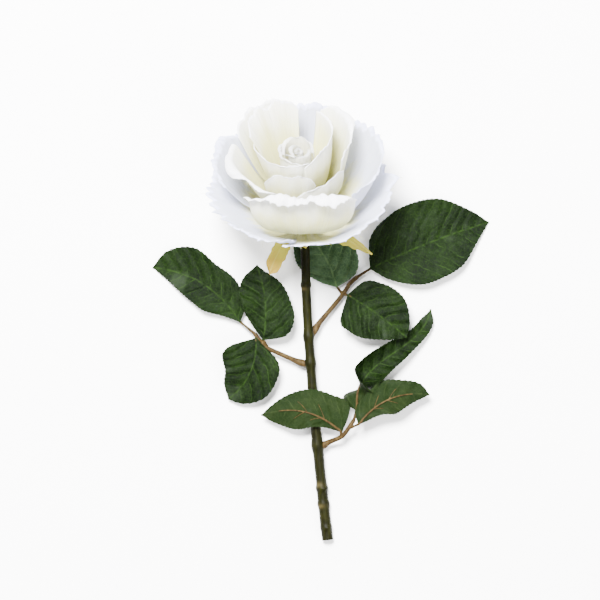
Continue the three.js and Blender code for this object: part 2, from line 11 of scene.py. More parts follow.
import bpy
import numpy as np
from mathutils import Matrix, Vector


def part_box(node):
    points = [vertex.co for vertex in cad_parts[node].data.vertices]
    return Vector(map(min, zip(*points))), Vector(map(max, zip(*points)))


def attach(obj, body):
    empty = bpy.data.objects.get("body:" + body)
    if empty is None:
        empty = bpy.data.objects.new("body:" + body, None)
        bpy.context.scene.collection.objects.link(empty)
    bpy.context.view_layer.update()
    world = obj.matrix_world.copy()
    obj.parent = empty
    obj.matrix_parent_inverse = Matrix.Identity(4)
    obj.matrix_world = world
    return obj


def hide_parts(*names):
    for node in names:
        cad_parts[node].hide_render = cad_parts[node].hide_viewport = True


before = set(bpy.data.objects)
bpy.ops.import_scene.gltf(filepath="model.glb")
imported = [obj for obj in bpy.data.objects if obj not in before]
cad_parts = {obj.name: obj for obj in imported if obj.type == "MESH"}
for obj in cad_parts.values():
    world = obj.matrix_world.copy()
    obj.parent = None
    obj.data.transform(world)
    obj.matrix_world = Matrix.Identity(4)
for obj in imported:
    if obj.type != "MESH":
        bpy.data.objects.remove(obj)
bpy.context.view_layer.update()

# %% [markdown]
# ## Where things are
# The flower's axis leans back from the table by 48 degrees. Shapes are worked out in a plan
# whose origin is under the neck of the stem. The calyx cup is a plain turned shape, so the
# box of its CAD node tells exactly where that plan lies in the frame: no fitting by eye.

# %% The head's axis and the plan
METRES = 0.001
degree = math.pi / 180

head_pitch = 48 * degree
hip_length = 12.0
hip_radius = 6.6
head_side_shift = -1.6

head_right = np.array([1.0, 0.0, 0.0])
head_down = np.array([0.0, math.sin(head_pitch), -math.cos(head_pitch)])
head_axis = np.array([0.0, math.cos(head_pitch), math.sin(head_pitch)])

stem_top_radius = 2.3
cup_rings = [
    (stem_top_radius + 0.4, -hip_length),
    (hip_radius * 0.72, -hip_length * 0.75),
    (hip_radius, -hip_length * 0.4),
    (hip_radius * 0.94, -hip_length * 0.12),
    (hip_radius * 0.8, 0.0),
]
cup_low, cup_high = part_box("calyx_cup")
reach_ahead = max(height * head_axis[1] + radius * head_down[1] for radius, height in cup_rings)
reach_up = max(height * head_axis[2] - radius * head_down[2] for radius, height in cup_rings)
head_base = np.array([
    (cup_low.x + cup_high.x) / 2 / METRES,
    cup_high.y / METRES - reach_ahead,
    cup_high.z / METRES - reach_up,
])
neck_place = head_base - head_axis * hip_length
neck_place[0] -= head_side_shift
print("base of the head:", head_base.round(2), "mm")


def head_point(radius, angle, height):
    """Points round the flower's axis; the arguments are arrays of one shape."""
    return (
        head_base
        + (radius * np.cos(angle))[..., None] * head_right
        + (radius * np.sin(angle))[..., None] * head_down
        + height[..., None] * head_axis
    )


# %% [markdown]
# ## Making a sheet of cloth
# A petal is a thin sheet, so its mesh is a grid of points, and Blender's Solidify modifier
# gives it the thickness of starched cloth. A cloth simulation could drape it, but a computed
# grid keeps to the CAD shape and comes out the same at each run. The grid also gets two UV
# maps, which say where on the piece a point lies. `share` runs from
# 0 to 1 across and along the piece, for colours that depend on the place in the piece, and
# `cloth` measures the same place in millimetres, for weave and veins of the right size.

# %% Cloth from a grid of points
cloth_thickness = 0.35
table_gap = 0.05         # left under cloth that lies on the table


def unit(vectors):
    return vectors / np.maximum(np.linalg.norm(vectors, axis=-1, keepdims=True), 1e-9)


def grid_normals(points):
    return unit(np.cross(np.gradient(points, axis=1), np.gradient(points, axis=0)))


def rest_on_table(points, softness=0.3):
    """Bends what would pass through the table so that it lies on it."""
    floor = cloth_thickness / 2 + table_gap
    above = (points[..., 2] - floor) / softness
    points[..., 2] = floor + softness * np.logaddexp(0, above)
    return points


def add_uv(mesh, name, values):
    corners = np.empty(len(mesh.loops), np.int32)
    mesh.loops.foreach_get("vertex_index", corners)
    layer = mesh.uv_layers.new(name=name)
    layer.data.foreach_set("uv", values[corners].astype(np.float32).ravel())


def add_object(name, points, faces, materials, nodes=()):
    """A mesh object in metres that rides on the root body and stands for some CAD nodes."""
    mesh = bpy.data.meshes.new(name)
    mesh.from_pydata((np.asarray(points) * METRES).tolist(), [], faces)
    mesh.shade_smooth()
    piece = bpy.data.objects.new(name, mesh)
    bpy.context.scene.collection.objects.link(piece)
    for material in materials:
        mesh.materials.append(material)
    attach(piece, "root")
    if nodes:
        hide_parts(*nodes)
    return piece


def cloth_sheet(name, points, share, cloth, materials, node):
    rows, columns = points.shape[:2]
    corner = np.arange(rows * columns).reshape(rows, columns)
    faces = np.stack([corner[:-1, :-1], corner[:-1, 1:], corner[1:, 1:], corner[1:, :-1]], -1)
    piece = add_object(name, points.reshape(-1, 3), faces.reshape(-1, 4).tolist(), materials, [node])
    add_uv(piece.data, "share", share.reshape(-1, 2))
    add_uv(piece.data, "cloth", cloth.reshape(-1, 2))
    thick = piece.modifiers.new("thickness", "SOLIDIFY")
    thick.thickness = cloth_thickness * METRES
    thick.offset = 0
    thick.material_offset = len(materials) - 1
    return piece


# %% [markdown]
# ## Unevenness
# Cut cloth that was pressed and wired by hand is never even. A bump texture could make it look
# uneven, but its rim would stay smooth. Here a few sine waves in random directions, from a
# numbered generator, give soft swells that move the points themselves.

# %% Soft random swells
def swells(u, v, seed, across=1.5, along=1.5, waves=5):
    """Soft unevenness between about -1 and 1."""
    dice = np.random.default_rng(seed)
    total = np.zeros(np.broadcast(u, v).shape)
    for _ in range(waves):
        turns_across = dice.uniform(-across, across)
        turns_along = dice.uniform(-along, along)
        start = dice.uniform(0, 1)
        total = total + np.sin(2 * math.pi * (turns_across * u + turns_along * v + start))
    return total / math.sqrt(waves)


print("swells at five places:", swells(np.linspace(0, 1, 5), 0, seed=1).round(2))

# %% [markdown]
# ## A finish made of nodes
# Every material starts from Blender's Principled shader. The nodes could be joined by hand in
# the shader editor. This helper adds and joins them in code instead, so that the cells below
# read as recipes: what is mixed with what, and at which size.

# %% A helper for materials
class Finish:
    def __init__(self, name, roughness, sheen=0.0, gloss=0.5):
        self.material = bpy.data.materials.new(name)
        self.material.use_nodes = True
        self.tree = self.material.node_tree
        self.shader = self.tree.nodes["Principled BSDF"]
        self.shader.inputs["Roughness"].default_value = roughness
        self.shader.inputs["Sheen Weight"].default_value = sheen
        self.shader.inputs["Sheen Roughness"].default_value = 0.5
        self.shader.inputs["Specular IOR Level"].default_value = gloss

    def node(self, kind, inputs=(), **settings):
        made = self.tree.nodes.new("ShaderNode" + kind)
        for key, value in settings.items():
            setattr(made, key, value)
        for key, value in dict(inputs).items():
            self.put(value, made.inputs[key])
        return made

    def put(self, value, socket):
        if isinstance(value, bpy.types.NodeSocket):
            self.tree.links.new(value, socket)
        else:
            socket.default_value = value

    def sum(self, operation, *values):
        made = self.node("Math", operation=operation)
        for value, socket in zip(values, made.inputs):
            self.put(value, socket)
        return made.outputs[0]

    def uv(self, name):
        split = self.node("SeparateXYZ", {0: self.node("UVMap", uv_map=name).outputs[0]})
        return split.outputs[0], split.outputs[1]

    def spot(self, x, y, z=0.0):
        return self.node("CombineXYZ", {0: x, 1: y, 2: z}).outputs[0]

    def noise(self, where, scale, detail=3.0, roughness=0.5):
        inputs = {"Vector": where, "Scale": scale, "Detail": detail, "Roughness": roughness}
        return self.node("TexNoise", inputs).outputs["Fac"]

    def between(self, value, low, high, to_low=0.0, to_high=1.0):
        """Smooth step of a value from low..high to another range."""
        inputs = {0: value, 1: low, 2: high, 3: to_low, 4: to_high}
        return self.node("MapRange", inputs, interpolation_type="SMOOTHSTEP").outputs[0]

    def mix(self, share, first, second):
        made = self.node("Mix", data_type="RGBA")
        self.put(share, made.inputs[0])
        self.put((*first, 1) if isinstance(first, tuple) else first, made.inputs[6])
        self.put((*second, 1) if isinstance(second, tuple) else second, made.inputs[7])
        return made.outputs[2]

    def relief(self, height, depth_mm):
        """Bump of a height from 0 to 1, its full height in millimetres."""
        inputs = {"Height": height, "Distance": depth_mm * METRES, "Strength": 1.0}
        bump = self.node("Bump", inputs)
        self.put(bump.outputs[0], self.shader.inputs["Normal"])

    def colour(self, value):
        self.put(value, self.shader.inputs["Base Color"])


# %% [markdown]
# ## Petal cloth
# The petals are cut from fine white polyester cloth. Low in the petal it is creamy, nearly yellow-green:
# partly a dye round the claw, partly painted shade of the deep cup. The rim is painted whiter than the
# body, as painted light on the rolled edges. Fine creases run from the claw to the rim where the cloth was
# pressed over a hot former, and their grey is painted shade. The weave is much finer and only shows close
# up. A little light passes through, which softens the shade between the petals. The bud's cloth is painted
# lighter, and that of the outer petals darker and bluer, as painted light and painted shade. A picture of
# cloth could be wrapped on, but noise made by nodes never repeats or blurs.

# %% Petal finishes
petal_weave = 19.0       # radians of weave in a millimetre, three threads or so
crease_depth = 1.1       # millimetres
crease_painted_shade = (0.55, 0.56, 0.52)
light_travel = 6         # millimetres that light runs inside the cloth


def petal_finish(name, rim, body, middle, claw, dye_and_shade_reach, glow):
    """White cloth: its claw colour is dye and painted shade of the deep cup, its whiter rim painted light;
    one argument says how far the claw colour reaches, `glow` how much light gets through.
    """
    finish = Finish(name, roughness=0.8, sheen=0.1, gloss=0.2)
    across, along = finish.uv("share")
    cloth_x, cloth_y = finish.uv("cloth")
    cloth = finish.spot(cloth_x, cloth_y)

    patchy = finish.noise(cloth, 0.08)
    place = finish.sum("ADD", along, finish.sum("MULTIPLY", finish.sum("SUBTRACT", patchy, 0.5), 0.25))
    # Painted light and shade: the claw's creamy colour is dye and painted shade of the deep cup, and the
    # whiter rim is painted light.
    warm = finish.mix(finish.between(place, 0.12 * dye_and_shade_reach, 0.42 * dye_and_shade_reach), claw, middle)
    colour = finish.mix(finish.between(place, 0.38 * dye_and_shade_reach, 0.62 * dye_and_shade_reach), warm, body)
    colour = finish.mix(finish.between(place, 0.66, 0.9), colour, rim)

    crease = finish.noise(finish.spot(finish.sum("MULTIPLY", across, 38.0), along), 1.6, 4.0, 0.6)
    fine_crease = finish.noise(finish.spot(finish.sum("MULTIPLY", across, 150.0), along), 1.6)
    # Painted shade: the cloth is greyed along the creases, where shade would lie.
    colour = finish.mix(finish.between(crease, 0.62, 0.32, 0.0, 0.16), colour, crease_painted_shade)
    finish.colour(colour)

    threads = finish.sum(
        "MULTIPLY",
        finish.sum("SINE", finish.sum("MULTIPLY", cloth_x, petal_weave)),
        finish.sum("SINE", finish.sum("MULTIPLY", cloth_y, petal_weave)),
    )
    height = finish.sum("ADD", crease, finish.sum("MULTIPLY", fine_crease, 0.35))
    height = finish.sum("ADD", height, finish.sum("MULTIPLY", threads, 0.05))
    finish.relief(height, crease_depth)
    finish.shader.inputs["Subsurface Weight"].default_value = glow
    finish.shader.inputs["Subsurface Radius"].default_value = (1.0, 0.95, 0.7)
    finish.shader.inputs["Subsurface Scale"].default_value = light_travel * METRES
    return finish.material


claw_dye_and_shade = (0.30, 0.28, 0.03)
cream = (0.70, 0.68, 0.26)
# Lit and shaded copies of one cloth: the bud's is painted lighter, painted light in the heart of the head,
# and the outer petals' is darker and bluer, painted shade.
heart_cloth = petal_finish(
    "petal_cloth_heart", rim=(0.97, 0.97, 0.88), body=(0.94, 0.93, 0.72), middle=(0.74, 0.71, 0.36),
    claw=(0.62, 0.58, 0.16), dye_and_shade_reach=1.2, glow=0.7)
inner_cloth = petal_finish(
    "petal_cloth_inner", rim=(0.94, 0.94, 0.97), body=(0.82, 0.82, 0.73), middle=cream,
    claw=claw_dye_and_shade, dye_and_shade_reach=1.2, glow=0.2)
outer_cloth = petal_finish(
    "petal_cloth_outer", rim=(0.62, 0.65, 0.90), body=(0.53, 0.56, 0.70), middle=cream,
    claw=claw_dye_and_shade, dye_and_shade_reach=0.72, glow=0.1)
print("petal finishes:", [m.name for m in (heart_cloth, inner_cloth, outer_cloth)])

# %% [markdown]
# ## The shape of a petal
# Each petal rises from the wire as a cup and then rolls outwards at its rim. Seen from the
# side, the cup is one Bezier curve of radius against height, and the roll is part of a circle
# added to its end. Angles are degrees round the flower's axis: 0 is to the right, 90 faces
# the table and -90 faces up, above the stem. The rim's height, the tightness of its roll and
# the cloth itself get swells, so that no two rims look alike. The petals could be sculpted one
# by one, but one function with a row of numbers for each is easier to set and to change.

# %% Petal shape
claw_radius = 1.0
claw_step = 1.2
lowest_claw = 0.9
claw_spread = 0.55       # share of its spread that a petal has at the claw
full_width_at = 0.45     # share of its length where it has its full spread
roll_share = 0.3         # share of its rows that lie in the roll
rim_waves = 0.012        # unevenness of the rim, as a share of the cup's curve
plain_frill = 0.004      # the same for the small frill
notch_width = 0.13       # of the dip in the middle of the rim
roll_unevenness = 0.22


def bezier(a, b, c, d, t):
    s = 1 - t
    return s**3 * a + 3 * s * s * t * b + 3 * s * t * t * c + t**3 * d


def petal_points(petal, claw_height, u, v, seed):
    sides = 1 + petal["swing"] * u + petal["flare"] * u * u
    rim_radius = petal["radius"] * sides
    belly = petal["belly"] * (1 + (sides - 1) * 0.5)
    rise = petal["height"] - claw_height
    wavy = rim_waves * swells(u, 0, seed, across=2.2)
    wavy = wavy + petal.get("frill", plain_frill) * swells(u, 0, seed + 6, across=9, waves=8)
    notch = petal.get("notch", 0) * np.exp(-(u / notch_width) ** 2)
    cup_end = 1 - petal["drop"] * abs(u) ** 3 + wavy - notch

    def cup(t):
        radius = bezier(claw_radius, belly * 0.85, belly * 1.1, rim_radius, t)
        low, high = claw_height + rise * 0.02, claw_height + rise * 0.55
        height = bezier(claw_height, low, high, petal["height"], t)
        return np.stack(np.broadcast_arrays(radius, height), -1)

    body = np.minimum(v / (1 - roll_share), 1)
    rolled = np.maximum((v - (1 - roll_share)) / roll_share, 0)
    heading = unit(cup(cup_end) - cup(cup_end - 0.02))
    outward = np.stack([heading[..., 1], -heading[..., 0]], -1)
    uneven = 1 + roll_unevenness * swells(u, 0, seed + 1, across=1.8)
    most = petal["roll"] * degree * (1 + petal["roll_swing"] * u) * (1 - 0.5 * abs(u) ** 3)
    angle = most * rolled * uneven
    curl = petal["curl"] * (1 + 0.2 * swells(u, 0, seed + 2))
    place = cup(cup_end * body)
    place = place + (curl * np.sin(angle))[..., None] * heading
    place = place + (curl * (1 - np.cos(angle)))[..., None] * outward

    opening = np.sin(np.minimum(v / petal.get("full_width_at", full_width_at), 1) * math.pi / 2)
    narrow = petal.get("claw_spread", claw_spread)
    spread = petal["spread"] * (narrow + (1 - narrow) * opening)
    points = head_point(place[..., 0], (petal["facing"] + spread * u) * degree, place[..., 1])
    points[..., 0] += petal.get("lean", 0) * (v * v + 0 * u)
    return points


print("the outermost petal starts", lowest_claw, "mm above the base of the head")

# %% [markdown]
# ## The petals, innermost first
# The numbers are the head's own sizes. `radius` and `height` say where the rim stands,
# `belly` how far the cup bulges, `swing` and `flare` how the rim's radius changes across the
# petal, `drop` how much lower the petal is at its sides. `facing` is the way that the petal
# faces and `spread` its half width, in degrees. `roll` is how far the rim turns over, in
# degrees, `roll_swing` how that changes across, and `curl` the radius of the turn. `ruffle`
# is how far the cloth waves. Each petal could be a mesh drawn by hand, but a table shows at a
# glance how the flower opens from the bud to the petals that rest on the table.

# %% Petal sizes
petal_words = ("name", "facing", "spread", "radius", "height", "belly", "swing", "flare", "drop", "roll",
               "roll_swing", "curl", "ruffle")
petal_sizes = [
    ("bud_heart", -20, 160, 1.9, 56, 2.2, 0.15, 0, 0.04, 10, 0, 2, 0.05),
    ("bud_petal_left", 170, 95, 4.1, 57, 4.3, 0.04, 0, 0.06, 20, 0, 1.5, 0.08),
    ("bud_petal_front", -75, 98, 5.9, 57, 6.1, 0.04, 0, 0.06, 20, 0, 1.5, 0.08),
    ("bud_petal_back", 95, 98, 7.8, 58.5, 8.1, 0.04, 0, 0.06, 25, 0, 1.5, 0.1),
    ("bud_petal_outer", 215, 78, 10.2, 57, 11.3, 0.04, 0, 0.06, 25, 0, 1.5, 0.2),
    ("inner_petal_left", 235, 68, 16.8, 58.5, 15.2, -0.52, 0.16, 0.07, 45, 0, 1.8, 0.4),
    ("inner_petal_right", -5, 80, 13.5, 61, 14.6, 0.58, 0.68, 0.06, 60, 0, 1.6, 0.3),
    ("inner_petal_back", 128, 34, 33.5, 62.5, 18, 0, -0.03, 0.08, 40, 0, 2.5, 0.6),
    ("middle_petal_front", 254, 42, 19, 55, 20, -0.26, 0.03, 0.2, 35, 0, 1.6, 0.35),
    ("middle_petal_right", -54, 42, 21.5, 49, 22, -0.06, 0.1, 0.08, 40, 0, 1.5, 0.5),
    ("middle_petal_left", 207, 48, 34, 50, 24, -0.2, 0, 0.08, 105, -0.6, 2.4, 0.6),
    ("back_petal_right", 33, 41, 30.5, 57, 24, 0.29, 0, 0.1, 85, 0.3, 1.9, 0.7),
    ("back_petal_left", 127, 29, 40.5, 56, 27, 0, 0, 0.1, 70, 0, 2, 0.8),
    ("front_petal", -90, 48, 31, 50, 35.5, 0, 0.2, 0.12, 150, -0.3, 5, 0.6),
    ("outer_petal_right", 10, 46, 43, 46, 35, 0.1, -0.12, 0.12, 95, 0, 2.4, 1.0),
    ("outer_petal_left", 166, 27, 46, 43, 33, 0, 0, 0.12, 120, 0, 2.2, 1.0),
    ("outer_petal_back", 89, 32, 45, 43, 35, 0, 0, 0.12, 80, 0, 2.4, 1.0),
    ("low_petal_left", 217, 46, 46, 26.5, 30, -0.14, 0, 0.1, 40, 0, 4, 1.1),
    ("low_petal_right", -40, 64, 46, 29, 31, 0.05, 0.03, 0.1, 40, 0, 4, 1.2),
    ("resting_petal_right", 56, 37, 50, 17, 31, 0, 0, 0.08, 50, 0, 5, 0.8),
    ("resting_petal_left", 133, 38, 51, 17, 32, 0, 0, 0.08, 50, 0, 5, 0.8),
]
petals = [dict(zip(petal_words, sizes)) for sizes in petal_sizes]
bud_count = 5            # petals of the bud, then those up to the front petal
inner_count = 14
for petal in petals[:bud_count]:
    petal["lean"] = -3
for petal in petals[bud_count:]:
    petal["notch"] = 0.012
for petal in petals[inner_count:]:
    petal["frill"] = 0.02
petal_named = {petal["name"]: petal for petal in petals}
petal_named["front_petal"].update(claw_spread=0.4, full_width_at=0.8, frill=0.012, tear=2)
for name in ("low_petal_left", "low_petal_right"):
    petal_named[name].update(claw_spread=0.85, frill=0.045, tear=2.8)
print(len(petals), "petals")

# %% [markdown]
# ## Cutting the petals
# The cloth is pressed by hand, so it gets waves that grow towards the rim, and finer puckers.
# The rim is a raw cut: its last row of points is moved in or out by a few tenths of a
# millimetre. The petals that meet the table lie on it.

# %% Make the petals
petal_rows = 72
fewest_columns = 56
columns_a_degree = 0.6
ragged = 0.3
cloth_step = 200         # millimetres from one petal's place in the noise to the next
rims = {}


def make_petal(petal, order):
    seed = 100 + 10 * order
    columns = int(fewest_columns + petal["spread"] * columns_a_degree)
    u = np.linspace(-1, 1, columns)[None, :]
    v = np.linspace(0, 1, petal_rows)[:, None]
    claw_height = lowest_claw + claw_step * (len(petals) - 1 - order)
    points = petal_points(petal, claw_height, u, v, seed)

    # waves in the cloth that grow towards the rim, and finer puckers
    normals = grid_normals(points)
    wave = swells(u, v, seed + 3, across=1.6, along=0.9)
    wave = wave + 0.35 * swells(u, v, seed + 4, across=6, along=1.5)
    points += normals * (petal["ruffle"] * wave * v**1.5)[..., None]

    # a ragged cut edge
    dice = np.random.default_rng(seed + 5)
    outwards = unit(points[-1] - points[-2])
    tear = ragged * petal.get("tear", 1)
    points[-1] += outwards * dice.uniform(-tear, tear, (columns, 1))
    rest_on_table(points)

    width = np.linalg.norm(np.diff(points[-1], axis=0), axis=-1).sum()
    length = np.linalg.norm(np.diff(points[:, columns // 2], axis=0), axis=-1).sum()
    share = np.stack(np.broadcast_arrays((u + 1) / 2, v), -1)
    cloth = np.stack(np.broadcast_arrays(u * width / 2 + cloth_step * order, v * length), -1)
    finish = heart_cloth if order < bud_count else inner_cloth if order < inner_count else outer_cloth
    cloth_sheet(petal["name"] + "_cloth", points, share, cloth, [finish], petal["name"])
    rims[petal["name"]] = (points[-1], outwards)
    return width, length


for order, petal in enumerate(petals):
    width, length = make_petal(petal, order)
    print(petal["name"], "rim", round(width), "mm, length", round(length), "mm")

# %% [markdown]
# ## Bars: stems, stalks, ribs and threads
# Long round pieces are rings of points swept along a line. A curve with a bevel could do
# that, but here each point of a ring has its own radius, for bumps on one side. The ring's
# frame is carried from each point to the next without twisting, so they stay where they are.

# %% A bar along a line
def bar(line, radii, sides=16):
    """Points and faces of a closed bar; radii is one number a ring, or one a point."""
    line = np.asarray(line, float)
    rings = len(line)
    radii = np.broadcast_to(np.asarray(radii, float).reshape(rings, -1), (rings, sides))
    tangents = unit(np.gradient(line, axis=0))
    side = np.cross(tangents[0], [0.0, 0.0, 1.0])
    if np.linalg.norm(side) < 0.2:
        side = np.cross(tangents[0], [1.0, 0.0, 0.0])
    turns = np.arange(sides) * 2 * math.pi / sides
    points = []
    for place, tangent, radius in zip(line, tangents, radii):
        side = unit(side - tangent * (side @ tangent))
        other = np.cross(tangent, side)
        ring = np.cos(turns)[:, None] * side + np.sin(turns)[:, None] * other
        points.append(place + ring * radius[:, None])
    points = np.concatenate([*points, line[:1], line[-1:]])
    faces = []
    for ring in range(rings - 1):
        for turn in range(sides):
            after = (turn + 1) % sides
            low, high = ring * sides, (ring + 1) * sides
            faces.append((low + turn, low + after, high + after, high + turn))
    last = (rings - 1) * sides
    for turn in range(sides):
        after = (turn + 1) % sides
        faces.append((rings * sides, after, turn))
        faces.append((rings * sides + 1, last + turn, last + after))
    return points, faces


def join(parts):
    """One list of points and faces from several."""
    points, faces, count = [], [], 0
    for part_points, part_faces in parts:
        points.append(part_points)
        faces.extend(tuple(index + count for index in face) for face in part_faces)
        count += len(part_points)
    return np.concatenate(points), faces


def smooth_line(places, count):
    """A smooth line through a few places (Catmull-Rom), with evenly spread points."""
    places = np.asarray(places, float)
    ends = np.concatenate([2 * places[:1] - places[1:2], places, 2 * places[-1:] - places[-2:-1]])
    fine = []
    for a, b, c, d in zip(ends, ends[1:], ends[2:], ends[3:]):
        t = np.linspace(0, 1, 24, endpoint=False)[:, None]
        fine.append(0.5 * (2 * b + (c - a) * t + (2 * a - 5 * b + 4 * c - d) * t**2
                           + (3 * b - a - 3 * c + d) * t**3))
    fine = np.concatenate([*fine, places[-1:]])
    run = np.concatenate([[0], np.cumsum(np.linalg.norm(np.diff(fine, axis=0), axis=1))])
    wanted = np.linspace(0, run[-1], count)
    return np.stack([np.interp(wanted, run, fine[:, axis]) for axis in range(3)], -1)


straight_line = smooth_line([[0, 0, 0], [0, 9, 0]], 8)
print("a bar of 8 rings has", len(bar(straight_line, np.ones(8))[0]), "points")

# %% [markdown]
# ## Loose threads
# Cut polyester cloth frays: single threads stand out from the rims. A hair system could grow
# them, but thin bars are real mesh that can be exported with the rest. They are a tenth of a
# millimetre thick, start inside the cloth and curl away from it.

# %% Fray the rims
thread_radius = 0.06
thread_rings = 8


def thread(start, direction, length, dice):
    bend = unit(dice.normal(size=3)) * length * 0.45
    places = [start - direction * 0.8, start, start + direction * length * 0.5 + bend * 0.3,
              start + direction * length * 0.8 + bend]
    radii = np.linspace(thread_radius, thread_radius * 0.5, thread_rings)
    return bar(smooth_line(places, thread_rings), radii, sides=5)


def fray(names, each, shortest, longest, seed):
    dice = np.random.default_rng(seed)
    threads = []
    for name in names:
        rim, outwards = rims[name]
        for _ in range(each):
            at = int(dice.integers(2, len(rim) - 2))
            threads.append(thread(rim[at], outwards[at], dice.uniform(shortest, longest), dice))
    return threads


frayed = ["front_petal", "low_petal_left", "low_petal_right", "outer_petal_right", "outer_petal_left",
          "outer_petal_back", "back_petal_left", "back_petal_right", "middle_petal_left"]
threads = fray(frayed, each=14, shortest=0.5, longest=2.4, seed=41)
threads += fray(["low_petal_left", "low_petal_right"], each=10, shortest=2.0, longest=4.5, seed=42)
points, faces = join(threads)
rest_on_table(points)
add_object("petal_threads", points, faces, [outer_cloth])
print(len(threads), "loose threads")

# %% [markdown]
# ## Leaf cloth
# The leaves are printed cloth. The print gives a dark green top with paler veins; the back is
# a paler olive. A rose leaf's side veins leave the midrib at a slant and curve towards the
# tip, and between them runs a fine net. With the `cloth` UV map in millimetres, x is the
# distance from the midrib and y the distance along it, so slanted stripes of x and y are veins.
# A painted texture could hold the same print, but this one is sharp at any distance. The small leaflet
# that lies under the others is printed lighter and greyer: painted light where the head's shadow falls on
# it.

# %% Leaf finishes
vein_spacing = 7.0       # millimetres along the midrib
vein_slant = 0.72
vein_curve = 0.010
vein_shift = 3.1         # the veins of the two halves don't meet
leaf_weave = 16.0        # radians of weave in a millimetre
print_depth = 0.5
dust_and_sheen = (0.0105, 0.0155, 0.0085)


def leaf_finish(name, blade, shade, vein, vein_share, roughness, raised):
    """Printed cloth: `raised` is 1 where the veins are sunk (the top), -1 where they stand out."""
    finish = Finish(name, roughness, gloss=0.03)
    away, along = finish.uv("cloth")
    side = finish.sum("ABSOLUTE", away)
    start = finish.sum("SUBTRACT", along, finish.sum("MULTIPLY", side, vein_slant))
    curved = finish.sum("MULTIPLY", finish.sum("MULTIPLY", side, side), vein_curve)
    bent = finish.sum("SUBTRACT", start, curved)
    right_half = finish.sum("GREATER_THAN", away, 0.0)
    shifted = finish.sum("ADD", bent, finish.sum("MULTIPLY", right_half, vein_shift))
    wobble = finish.noise(finish.spot(away, along), 0.12)
    spaced = finish.sum("DIVIDE", shifted, vein_spacing)
    count = finish.sum("ADD", spaced, finish.sum("MULTIPLY", wobble, 0.8))
    from_vein = finish.sum("ABSOLUTE", finish.sum("SUBTRACT", finish.sum("FRACT", count), 0.5))
    fading = finish.between(finish.noise(finish.spot(away, along, 2.0), 0.2), 0.35, 0.65)
    side_vein = finish.sum("MULTIPLY", finish.between(from_vein, 0.06, 0.01), fading)
    broken = finish.between(finish.noise(finish.spot(away, along, 7.0), 0.3), 0.38, 0.6, 0.25, 1.0)
    midrib = finish.sum("MULTIPLY", finish.between(side, 0.75, 0.2), broken)
    net_place = finish.spot(away, along)
    net_edges = finish.node("TexVoronoi", {"Vector": net_place, "Scale": 0.55}, feature="DISTANCE_TO_EDGE")
    net = finish.between(net_edges.outputs["Distance"], 0.09, 0.02)
    veins = finish.sum("MAXIMUM", midrib, side_vein)
    pattern = finish.sum("MAXIMUM", veins, finish.sum("MULTIPLY", net, 0.35))
    print_share = finish.sum("MULTIPLY", pattern, vein_share)
    patchy = finish.noise(finish.spot(away, along, 5.0), 0.11, 4.0)
    colour = finish.mix(finish.between(patchy, 0.3, 0.7), blade, shade)
    # Dust and painted sheen: large lighter grey-green patches, partly dust on the cloth and partly painted
    # sheen where light glances off it.
    dust_and_sheen_patches = finish.noise(finish.spot(away, along, 11.0), 0.07, 3.0)
    colour = finish.mix(finish.between(dust_and_sheen_patches, 0.55, 0.75, 0.0, 0.6), colour, dust_and_sheen)
    flecks = finish.noise(finish.spot(away, along, 13.0), 0.9, 2.0)
    colour = finish.mix(finish.between(flecks, 0.6, 0.72, 0.0, 0.35 * vein_share), colour, vein)
    colour = finish.mix(print_share, colour, vein)
    finish.colour(colour)

    weave = finish.sum(
        "MULTIPLY",
        finish.sum("SINE", finish.sum("MULTIPLY", away, leaf_weave)),
        finish.sum("SINE", finish.sum("MULTIPLY", along, leaf_weave)),
    )
    pillow = finish.between(from_vein, 0.0, 0.45)
    height = finish.sum("ADD", finish.sum("MULTIPLY", pillow, raised), finish.sum("MULTIPLY", weave, 0.05))
    height = finish.sum("ADD", height, finish.sum("MULTIPLY", net, -0.12 * raised))
    finish.relief(height, print_depth)
    rough = finish.noise(finish.spot(away, along, 9.0), 0.3)
    uneven = finish.between(rough, 0.3, 0.7, roughness - 0.06, roughness + 0.08)
    finish.put(uneven, finish.shader.inputs["Roughness"])
    return finish.material


leaf_top = leaf_finish(
    "leaf_print_top", blade=(0.0006, 0.0020, 0.0003), shade=(0.0023, 0.0060, 0.0009),
    vein=(0.022, 0.050, 0.007), vein_share=0.24, roughness=0.5, raised=1.0)
leaf_back = leaf_finish(
    "leaf_print_back", blade=(0.0028, 0.0068, 0.0012), shade=(0.0050, 0.0094, 0.0021),
    vein=(0.018, 0.026, 0.008), vein_share=0.35, roughness=0.65, raised=-1.0)
# Painted light: several times lighter than the top print, for the leaflet that lies in the head's shadow.
leaf_print_lightened = leaf_finish(
    "leaf_print_painted_light", blade=(0.014, 0.030, 0.012), shade=(0.030, 0.052, 0.026),
    vein=(0.075, 0.12, 0.045), vein_share=0.4, roughness=0.6, raised=1.0)
print("leaf finishes:", leaf_top.name, leaf_back.name, leaf_print_lightened.name)

# %% [markdown]
# ## The shape of a leaflet
# A leaflet's midrib runs from its base to its tip with a bow sideways and an arch upwards.
# Half widths at five places on each side give its outline, and the margin gets the small,
# forward-pointing teeth of a rose leaf. The blade is folded a little along the midrib, and
# pillows gently between its side veins. `cup` bends it across, and `roll` turns it over: 180
# shows its back. A flat cut-out bent by modifiers could do, but the teeth would stretch.

# %% Leaflet shape
width_places = np.array([0, 0.1, 0.3, 0.5, 0.7, 0.9, 1])
up = np.array([0.0, 0.0, 1.0])
tooth_length = 2.3
tooth_depth = 0.55
pillow_height = 0.35
least_half_width = 0.5


